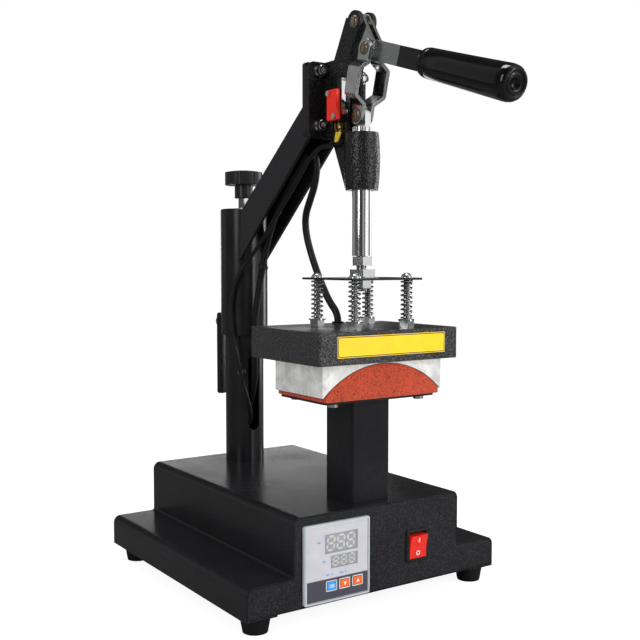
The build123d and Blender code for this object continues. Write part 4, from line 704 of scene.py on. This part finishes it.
def lead(name, route, thickness):
    """A sheathed lead along its route."""
    curve, holder, points = line_of(name, route)
    curve.bevel_depth = thickness / 2
    curve.bevel_resolution = 5
    curve.use_fill_caps = True
    bpy.context.view_layer.update()
    mesh = bpy.data.meshes.new_from_object(holder)
    mesh.name = name
    bpy.data.objects.remove(holder)
    mesh.materials.clear()
    mesh.materials.append(FINISHES["lead"])
    piece = add(name, mesh)
    smooth_edges(piece, 50)
    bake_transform(piece)
    return piece


# the cut tails of the two ties: from the tie's lock to the tip, and how far the tail curls
TIE_TAILS = (((-1.0, 35.8, 368.2), (4.6, 32.2, 375.6), 1.2), ((3.0, -13.6, 432.2), (6.2, -18.0, 435.4), 0.8))
TAIL_WIDTH, TAIL_THICK = 2.6, 1.1
TAIL_TAPER = 0.35  # share of the width that the tip has lost
TAIL_STEPS = 8


class PRESS_OT_tie_tails(bpy.types.Operator):
    """Cut tails of the cable ties, light grey as a painted highlight"""

    bl_idname = "press.tie_tails"
    bl_label = "Tie tails"

    def execute(self, context):
        bm = bmesh.new()
        for start, tip, curl in TIE_TAILS:
            along = Vector(tip) - Vector(start)
            turn = Matrix.Translation(Vector(start) * MM) @ facing(along, "Y")
            rings = []
            for step in range(TAIL_STEPS + 1):
                share = step / TAIL_STEPS
                half, bend = TAIL_WIDTH / 2 * (1 - TAIL_TAPER * share), curl * math.sin(share * math.pi / 2) ** 2
                corners = ((-half, bend), (half, bend), (half, bend + TAIL_THICK), (-half, bend + TAIL_THICK))
                height = along.length * share * MM
                rings.append([bm.verts.new(turn @ Vector((x * MM, y * MM, height))) for x, y in corners])
            for low, high in zip(rings, rings[1:]):
                for i in range(4):
                    bm.faces.new((low[i], low[i - 1], high[i - 1], high[i]))
            bm.faces.new(rings[0])
            bm.faces.new(rings[-1][::-1])
        finish_piece("tie_tails", bm, "tie", "head", (), 40)
        return {"FINISHED"}


class PRESS_OT_leads(bpy.types.Operator):
    """Heater lead and switch lead along the arm and column"""

    bl_idname = "press.leads"
    bl_label = "Leads"

    def execute(self, context):
        for name, made, route, size, length, bodies, start, end in LEADS:
            thickness = getattr(context.scene.press_sizes, size)
            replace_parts(lead(name, route, thickness), made)
        return {"FINISHED"}


FACE_Y = -149.0  # front of the controller's face
WINDOW_Y = FACE_Y + 0.8
KEY_Y = FACE_Y - 0.9
SUNK = 0.02  # how far a mark goes into what it lies on
CONTROLLER_X, CONTROLLER_Z = -50.5, 54.0
STRIP_HALF, STRIP_TOP = 33.4, -14.6  # half the key strip's width, and its top from the controller's middle
KEY_XS = [CONTROLLER_X - 7.0 + i * 14.5 for i in range(3)]
KEY_Z = CONTROLLER_Z - 21.5
KEY_HALF_W, KEY_HALF_H, KEY_LINE = 6.0, 4.8, 0.75  # the white frame round each key
# for each display: its middle from the controller's, the step between digits, and a digit's width, height and bar
DISPLAYS = ((4.0, 17.0, 11.0, 7.2, 12.2, 2.0), (7.25, 0.0, 9.0, 5.4, 7.8, 1.5))
# a digit's bars: where each lies, by half widths and half heights, and if it lies level
DIGIT_BARS = (
    (0, 1, True), (0, 0, True), (0, -1, True),
    (1, 0.5, False), (1, -0.5, False), (-1, 0.5, False), (-1, -0.5, False),
)
DIGIT_DEPTH = 0.12
BAR_POINT, BAR_GAP = 0.4, 0.9  # a bar's cut corners and how much shorter it is, as shares of its width
MARK_Z = KEY_Z + 10.4  # the dots and dashes over the keys
DOT_XS = (KEY_XS[0] + 1.0, KEY_XS[1] + 1.0)
DOT_R = 0.75
DASHES = (
    (CONTROLLER_X - 20.5, CONTROLLER_Z + 19.5), (CONTROLLER_X - 15.0, CONTROLLER_Z + 1.5),
    (KEY_XS[0] - 4.2, MARK_Z), (KEY_XS[1] - 3.6, MARK_Z),
)
DASH_HALF_W, DASH_HALF_H = 1.7, 0.6
ARROW_R, ARROW_DROP = 2.2, 0.3
LINES_Z, LINE_HALF_W, LINE_HALF_H = (-1.1, 0.0, 1.1), 2.6, 0.28  # the three lines on the first key


def digit(bm, x, z, width, height, bar, slant):
    """A figure eight of seven bars, leaning a little."""
    for across, up, level in DIGIT_BARS:
        dx, dz = across * width / 2, up * height / 2
        long = (width if level else height / 2) - bar * BAR_GAP
        size = (long, DIGIT_DEPTH, bar) if level else (bar, DIGIT_DEPTH, long)
        at = (x + dx + dz * math.tan(slant), WINDOW_Y - DIGIT_DEPTH / 2, z + dz)
        turn = Matrix.Rotation(0 if level else slant, 4, "Y")
        made = bmesh.ops.create_cube(bm, size=1, matrix=place(at, turn, size))["verts"]
        ends = [e for e in edges_of(made) if abs((e.verts[0].co - e.verts[1].co).y) > DIGIT_DEPTH / 2 * MM]
        bevel(bm, ends, bar * BAR_POINT, 1)


class PRESS_OT_controller(bpy.types.Operator):
    """Display figures, key strip, key marks and dots of the controller"""

    bl_idname = "press.controller"
    bl_label = "Controller face"

    def execute(self, context):
        slant = context.scene.press_sizes.digit_slant
        bm = bmesh.new()
        for across, up, step, width, height, bar in DISPLAYS:
            for i in (-1, 0, 1):
                digit(bm, CONTROLLER_X + across + i * step, CONTROLLER_Z + up, width, height, bar, slant)
        finish_piece("display_figures", bm, "segment", "base")

        bm = bmesh.new()
        low = (CONTROLLER_X - STRIP_HALF, CONTROLLER_Z - STRIP_HALF)
        high = (CONTROLLER_X + STRIP_HALF, CONTROLLER_Z + STRIP_TOP)
        thin_slab(bm, low, high, FACE_Y - 0.12, FACE_Y + SUNK, 0.05)
        finish_piece("key_strip", bm, "strip", "base")

        bm = bmesh.new()
        for x in KEY_XS:
            sides = (x - KEY_HALF_W, x + KEY_HALF_W, KEY_Z - KEY_HALF_H, KEY_Z + KEY_HALF_H)
            for low, high in border(*sides, KEY_LINE):
                thin_slab(bm, low, high, FACE_Y - 0.35, FACE_Y, 0.1)
        finish_piece("key_frames", bm, "white", "base")

        for body, x, way in (("set_key", KEY_XS[0], 0), ("down_key", KEY_XS[1], -1), ("up_key", KEY_XS[2], 1)):
            bm = bmesh.new()
            if way:
                turn = FORWARD @ Matrix.Rotation(0 if way > 0 else math.pi, 4, "Z")
                drum(bm, ARROW_R, 0.1, (x, KEY_Y - 0.03, KEY_Z - ARROW_DROP * way), turn, 3)
            else:
                for dz in LINES_Z:
                    low = (x - LINE_HALF_W, KEY_Z + dz - LINE_HALF_H)
                    high = (x + LINE_HALF_W, KEY_Z + dz + LINE_HALF_H)
                    thin_slab(bm, low, high, KEY_Y - 0.08, KEY_Y + SUNK)
            finish_piece(body + "_mark", bm, "white", body)

        bm = bmesh.new()
        for x in DOT_XS:
            drum(bm, DOT_R, 0.16, (x, FACE_Y - 0.06, MARK_Z), FORWARD, 20)
        for x, z in DASHES:
            low, high = (x - DASH_HALF_W, z - DASH_HALF_H), (x + DASH_HALF_W, z + DASH_HALF_H)
            thin_slab(bm, low, high, FACE_Y - 0.1, FACE_Y + SUNK, 0.05)
        finish_piece("controller_dots", bm, "blue_key", "base")
        return {"FINISHED"}


ROCKER_PIVOT = (43.8, -142.5, 52.5)
ROCKER_TILT = math.radians(8)
ROCKER_REACH = 6.7  # from the pivot to the middle of the rocker's face
ROCKER_TIP = 11.25  # and from there to each end of the face
ROCKER_HALF = 12.25  # half the key's height
ROCKER_PROUD = 0.55 * ROCKER_HALF * math.tan(ROCKER_TILT)  # how much further out the ends of the face stand
ROCKER_MARK_Z = 6.4


def rocker_place(height, lift):
    """A place on the rocker's face, by its height from the pivot along the face, and the face's lean."""
    depth = -ROCKER_REACH - ROCKER_PROUD * abs(height) / ROCKER_TIP - lift
    y = depth * math.cos(ROCKER_TILT) - height * math.sin(ROCKER_TILT)
    z = depth * math.sin(ROCKER_TILT) + height * math.cos(ROCKER_TILT)
    lean = ROCKER_TILT + math.copysign(math.atan(ROCKER_PROUD / ROCKER_TIP), height)
    return (ROCKER_PIVOT[0], ROCKER_PIVOT[1] + y, ROCKER_PIVOT[2] + z), lean


class PRESS_OT_rocker_marks(bpy.types.Operator):
    """On and off marks of the rocker"""

    bl_idname = "press.rocker_marks"
    bl_label = "Rocker marks"

    def execute(self, context):
        bm = bmesh.new()
        at, lean = rocker_place(ROCKER_MARK_Z, 0.05)
        turn = Matrix.Rotation(lean, 4, "X")
        bmesh.ops.create_cube(bm, size=1, matrix=place(at, turn, (1.1, 0.2, 4.2)))
        at, lean = rocker_place(-ROCKER_MARK_Z, 0.1)
        around = Matrix.Rotation(lean + math.pi / 2, 4, "X")
        rim = bmesh.ops.create_circle(bm, cap_ends=True, segments=28, radius=2.3, matrix=place(at, around))["verts"]
        disc = list({f for v in rim for f in v.link_faces})
        ring = bmesh.ops.inset_region(bm, faces=disc, thickness=0.9 * MM, use_boundary=True)["faces"]
        bmesh.ops.delete(bm, geom=disc, context="FACES")
        bmesh.ops.solidify(bm, geom=ring, thickness=0.1 * MM)
        finish_piece("rocker_marks", bm, "white", "rocker")
        return {"FINISHED"}


LABEL_RIM = 0.7


class PRESS_OT_label(bpy.types.Operator):
    """Blank label with a dark line round it"""

    bl_idname = "press.label"
    bl_label = "Label"

    def execute(self, context):
        line = context.scene.press_sizes.label_line / MM
        low, high = box_of("blank_label")
        bm = bmesh.new()
        soften(bm, slab(bm, low, high), 0.12, 1)
        finish_piece("label_film", bm, "label", "platen", ["blank_label"])
        bm = bmesh.new()
        front = low[1]
        sides = (low[0] + LABEL_RIM, high[0] - LABEL_RIM, low[2] + LABEL_RIM, high[2] - LABEL_RIM)
        for low, high in border(*sides, line):
            thin_slab(bm, low, high, front - 0.03, front + 0.05)
        finish_piece("label_line", bm, "label_edge", "platen")
        return {"FINISHED"}


SWITCH_X = -12.8
TERMINAL_YS = (-98.9, -94.1)
TERMINAL_LOW = 448.5
# the tab and the crimp below it: low corner, high corner and edge, from the terminal's foot
TERMINAL_BLOCKS = (((-2.9, -0.9, -0.8), (2.9, 0.9, 5.4), 0.4), ((-1.7, -1.3, -4.6), (1.7, 1.1, -0.4), 0.5))
SLEEVE_LEANS = (0.16, -0.1)
SLEEVE_STRETCHES = ((4.5, 1.75, 1.65), (5.5, 1.65, 1.15))  # length, upper radius and lower radius
SLEEVE_LAP = 0.6  # how far one stretch goes into the next
SLEEVE_BEND = Vector((0.12, 0.25, 0))


class PRESS_OT_terminals(bpy.types.Operator):
    """Brass tabs and yellow sleeves under the microswitch"""

    bl_idname = "press.terminals"
    bl_label = "Switch terminals"

    def execute(self, context):
        bm = bmesh.new()
        for y in TERMINAL_YS:
            foot = (SWITCH_X, y, TERMINAL_LOW)
            for low, high, edge in TERMINAL_BLOCKS:
                corners = [[a + b for a, b in zip(foot, corner)] for corner in (low, high)]
                soften(bm, slab(bm, *corners), edge)
        finish_piece("switch_tabs", bm, "brass", "head")
        bm = bmesh.new()
        for y, lean in zip(TERMINAL_YS, SLEEVE_LEANS):
            at = Vector((SWITCH_X - 0.3, y - 0.4, TERMINAL_LOW - 3.2))
            heading = Vector((-0.25, lean, -1)).normalized()
            for length, upper, lower in SLEEVE_STRETCHES:
                turn = heading.to_track_quat("-Z", "Y").to_matrix().to_4x4()
                soften(bm, drum(bm, lower, length, at + heading * length / 2, turn, 18, upper), 0.3, 1)
                at = at + heading * (length - SLEEVE_LAP)
                heading = (heading + SLEEVE_BEND).normalized()
        finish_piece("switch_sleeves", bm, "sleeve", "head")
        return {"FINISHED"}


LUG_LOW, LUG_HIGH = (9.4, -101.0, 474.0), (16.2, -93.0, 504.0)
LUG_BOLT = (11.6, -101.0, 497.0)
# washer and head of the lug's bolt: radius, length, middle's distance in front of the lug, edge and its steps
LUG_BOLT_DRUMS = ((5.4, 1.2, 0.4, 0.25, 1), (4.5, 3.6, 2.6, 0.8, 3))
LUG_SOCKET_RIM, LUG_SOCKET_DEPTH = 1.7, 1.8


class PRESS_OT_stop_lug(bpy.types.Operator):
    """Lug beside the right cheek with its bolt, seen between the links"""

    bl_idname = "press.stop_lug"
    bl_label = "Stop lug"

    def execute(self, context):
        bm = bmesh.new()
        soften(bm, slab(bm, LUG_LOW, LUG_HIGH), 1.4, 3)
        finish_piece("stop_lug", bm, "casting", "head")
        bm = bmesh.new()
        x, y, z = LUG_BOLT
        for radius, length, ahead, edge, steps in LUG_BOLT_DRUMS:
            soften(bm, drum(bm, radius, length, (x, y - ahead, z), FORWARD, 40), edge, steps)
        face = max(bm.faces, key=lambda f: (-f.calc_center_median().y, f.calc_area()))
        bmesh.ops.inset_region(bm, faces=[face], thickness=LUG_SOCKET_RIM * MM)
        bmesh.ops.translate(bm, verts=face.verts, vec=(0, LUG_SOCKET_DEPTH * MM, 0))
        finish_piece("stop_lug_bolt", bm, "zinc", "head", (), 30)
        return {"FINISHED"}


PIN_BODIES = {"top_pivot_pin": "head", "middle_pivot_pin": "lever", "lower_pivot_pin": "plunger"}
DOME_SHARE, DOME_RISE = 0.82, 1.0  # width as a share of the pin's head, and height


class PRESS_OT_pin_domes(bpy.types.Operator):
    """Domed ends of the riveted pivot pins"""

    bl_idname = "press.pin_domes"
    bl_label = "Pin domes"

    def execute(self, context):
        for pin, body in PIN_BODIES.items():
            low, high = (Vector(corner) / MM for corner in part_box(pin))
            middle, wide = (low + high) / 2, (high.y - low.y) * DOME_SHARE
            bm = bmesh.new()
            for x in (low.x, high.x):
                dome = place((x, middle.y, middle.z), None, (DOME_RISE * 2, wide, wide))
                bmesh.ops.create_uvsphere(bm, u_segments=32, v_segments=16, radius=0.5, matrix=dome)
            finish_piece(pin + "_domes", bm, "pin", body, (), 60)
        return {"FINISHED"}


# ---------------------------------------------------------------- stage, in metres
FLOOR_SIZE = 6.0
FLOOR_GLOW, FLOOR_VEIL, FLOOR_MIRRORED = 0.9, 0.3, 0.22  # the floor as the camera and as shiny metal see it
# how bright the studio is round the object, as metal sees it, by the share of a turn
STUDIO = (
    (0.0, 0.08), (0.12, 0.07), (0.155, 0.04), (0.175, 0.1), (0.188, 0.6), (0.21, 0.5), (0.225, 0.12), (0.26, 0.3),
    (0.29, 1.0), (0.34, 1.25), (0.38, 0.8), (0.42, 0.5), (0.46, 0.16), (0.53, 0.34), (0.59, 0.06), (0.7, 0.04),
    (0.79, 0.05), (0.835, 0.36), (0.87, 0.3), (0.92, 0.07), (0.955, 0.16), (0.98, 0.08),
)
STUDIO_FILL = 0.42  # and how bright it is for everything else
# name, place, aim, width and height, power in watts, and if metal mirrors it
LAMPS = (
    ("key_lamp", (0.95, -1.6, 0.66), (0, 0, 0.33), (0.62, 1.3), 17, False),
    ("strip_lamp", (0.62, -1.72, 0.62), (0, 0, 0.33), (0.22, 1.3), 5, True),
    ("left_lamp", (-1.65, -0.6, 0.95), (0, 0, 0.35), (0.45, 1.1), 8, True),
    ("side_lamp", (1.8, 0.1, 0.6), (0, 0, 0.3), (0.5, 1.2), 8, True),
    ("top_lamp", (0.0, 0.1, 2.2), (0, 0, 0), (0.7, 0.7), 14, True),
    ("back_lamp", (0.75, 2.0, 0.36), (0, 0, 0.3), (1.5, 0.36), 2.6, True),
)
CAMERA_AT = (-0.5433, -0.8452, 0.3214)
CAMERA_YAW, CAMERA_PITCH = math.radians(34.213), math.radians(-3.352)
CAMERA_LENS, CAMERA_SENSOR = 54.09, 36


def either(tree, share, first, second, at):
    """One shader or another, by a share."""
    return node(tree, "ShaderNodeMixShader", at, {0: share, 1: first, 2: second}).outputs[0]


def plain(tree, grey, at):
    return node(tree, "ShaderNodeBsdfDiffuse", at, {"Color": (grey, grey, grey, 1)}).outputs[0]


def lay_floor(scene):
    """A floor that the camera sees nearly white, and that metal mirrors as grey."""
    bm = bmesh.new()
    bmesh.ops.create_grid(bm, x_segments=1, y_segments=1, size=FLOOR_SIZE)
    mesh = bpy.data.meshes.new("floor")
    bm.to_mesh(mesh)
    bm.free()
    floor = add("floor", mesh)
    made = bpy.data.materials.new("Pale floor")
    made.use_nodes = True
    tree = made.node_tree
    shader = tree.nodes["Principled BSDF"]
    fill(shader, {"Base Color": (*scene.press_colours.floor, 1), "Roughness": 0.7})
    glow = node(tree, "ShaderNodeEmission", (0, -200), {"Strength": FLOOR_GLOW}).outputs[0]
    seen = {0: glow, 1: plain(tree, FLOOR_VEIL, (0, -350))}
    seen = node(tree, "ShaderNodeAddShader", (100, -250), seen).outputs[0]
    mirrored = plain(tree, FLOOR_MIRRORED, (0, 400))
    rays = node(tree, "ShaderNodeLightPath", (-400, 200)).outputs
    unseen = either(tree, rays["Is Glossy Ray"], shader.outputs[0], mirrored, (100, 300))
    whole = either(tree, rays["Is Camera Ray"], unseen, seen, (200, 0))
    fill(tree.nodes["Material Output"], {"Surface": whole})
    mesh.materials.append(made)


def light_world(scene):
    """White behind the object, the studio's bright and dark stretches in metal, and an even fill elsewhere."""
    world = bpy.data.worlds.new("Studio")
    scene.world = world
    world.use_nodes = True
    tree = world.node_tree
    rays = node(tree, "ShaderNodeLightPath", (-600, 200)).outputs
    seen = {0: rays["Is Camera Ray"], 1: rays["Is Transmission Ray"]}
    seen = node(tree, "ShaderNodeMath", (-400, 200), seen, operation="MAXIMUM").outputs[0]
    heading = node(tree, "ShaderNodeTexCoord", (-1200, -200)).outputs["Generated"]
    around = node(tree, "ShaderNodeTexGradient", (-1000, -200), {"Vector": heading}, gradient_type="RADIAL")
    studio = node(tree, "ShaderNodeValToRGB", (-800, -200), {"Fac": around.outputs["Fac"]})
    stops = studio.color_ramp.elements
    while len(stops) < len(STUDIO):
        stops.new(0.5)
    for stop, (where, bright) in zip(stops, STUDIO):
        stop.position = where
        stop.color = (bright, bright, bright, 1)
    dim = {"Value": rays["Is Glossy Ray"], "To Min": STUDIO_FILL, "To Max": studio.outputs["Color"]}
    dim = node(tree, "ShaderNodeMapRange", (-400, 0), dim).outputs["Result"]
    level = node(tree, "ShaderNodeMapRange", (-200, 200), {"Value": seen, "To Min": dim, "To Max": 1.0})
    fill(tree.nodes["Background"], {"Color": (1, 1, 1, 1), "Strength": level.outputs["Result"]})


def stand(name, data, at, ahead):
    """A lamp or a camera in the scene, looking along a heading."""
    holder = add(name, data)
    holder.location = at
    holder.rotation_euler = ahead.to_track_quat("-Z", "Y").to_euler()
    return holder


class PRESS_OT_stage(bpy.types.Operator):
    """Pale floor, soft lamps and the camera"""

    bl_idname = "press.stage"
    bl_label = "Stage"

    def execute(self, context):
        scene = context.scene
        lay_floor(scene)
        light_world(scene)
        for name, at, aim, size, power, mirrored in LAMPS:
            lamp = bpy.data.lights.new(name, "AREA")
            lamp.energy = power
            lamp.shape = "RECTANGLE"
            lamp.size, lamp.size_y = size
            stand(name, lamp, at, Vector(aim) - Vector(at)).visible_glossy = mirrored

        camera = bpy.data.cameras.new("camera")
        camera.lens = CAMERA_LENS
        camera.sensor_width = CAMERA_SENSOR
        camera.clip_start = 0.01
        level = math.cos(CAMERA_PITCH)
        ahead = Vector((math.sin(CAMERA_YAW) * level, math.cos(CAMERA_YAW) * level, math.sin(CAMERA_PITCH)))
        scene.camera = stand("camera", camera, CAMERA_AT, ahead)
        scene.view_settings.view_transform = "Standard"
        return {"FINISHED"}


class PRESS_PT_panel(bpy.types.Panel):
    """Lists the press's steps, colours and sizes"""

    bl_idname = "PRESS_PT_panel"
    bl_label = "Cap heat press"
    bl_space_type = "VIEW_3D"
    bl_region_type = "UI"
    bl_category = "Press"

    def draw(self, context):
        for step in STEPS:
            self.layout.operator(step.bl_idname)
        for name in PRESS_PG_colours.__annotations__:
            self.layout.prop(context.scene.press_colours, name)
        for name in PRESS_PG_sizes.__annotations__:
            self.layout.prop(context.scene.press_sizes, name)


STEPS = (
    PRESS_OT_finishes,
    PRESS_OT_silicone_pad,
    PRESS_OT_grip,
    PRESS_OT_springs,
    PRESS_OT_leads,
    PRESS_OT_tie_tails,
    PRESS_OT_controller,
    PRESS_OT_rocker_marks,
    PRESS_OT_label,
    PRESS_OT_terminals,
    PRESS_OT_stop_lug,
    PRESS_OT_pin_domes,
    PRESS_OT_stage,
)
CLASSES = (PRESS_PG_colours, PRESS_PG_sizes, *STEPS, PRESS_PT_panel)


def register():
    for kind in CLASSES:
        bpy.utils.register_class(kind)
    bpy.types.Scene.press_colours = PointerProperty(type=PRESS_PG_colours)
    bpy.types.Scene.press_sizes = PointerProperty(type=PRESS_PG_sizes)


def unregister():
    del bpy.types.Scene.press_sizes
    del bpy.types.Scene.press_colours
    for kind in reversed(CLASSES):
        bpy.utils.unregister_class(kind)


def main():
    register()
    for step in STEPS:
        group, name = step.bl_idname.split(".")
        done = getattr(getattr(bpy.ops, group), name)()
        if "FINISHED" not in done:
            raise RuntimeError(step.bl_label + " did not finish")


if __name__ == "__main__":
    main()
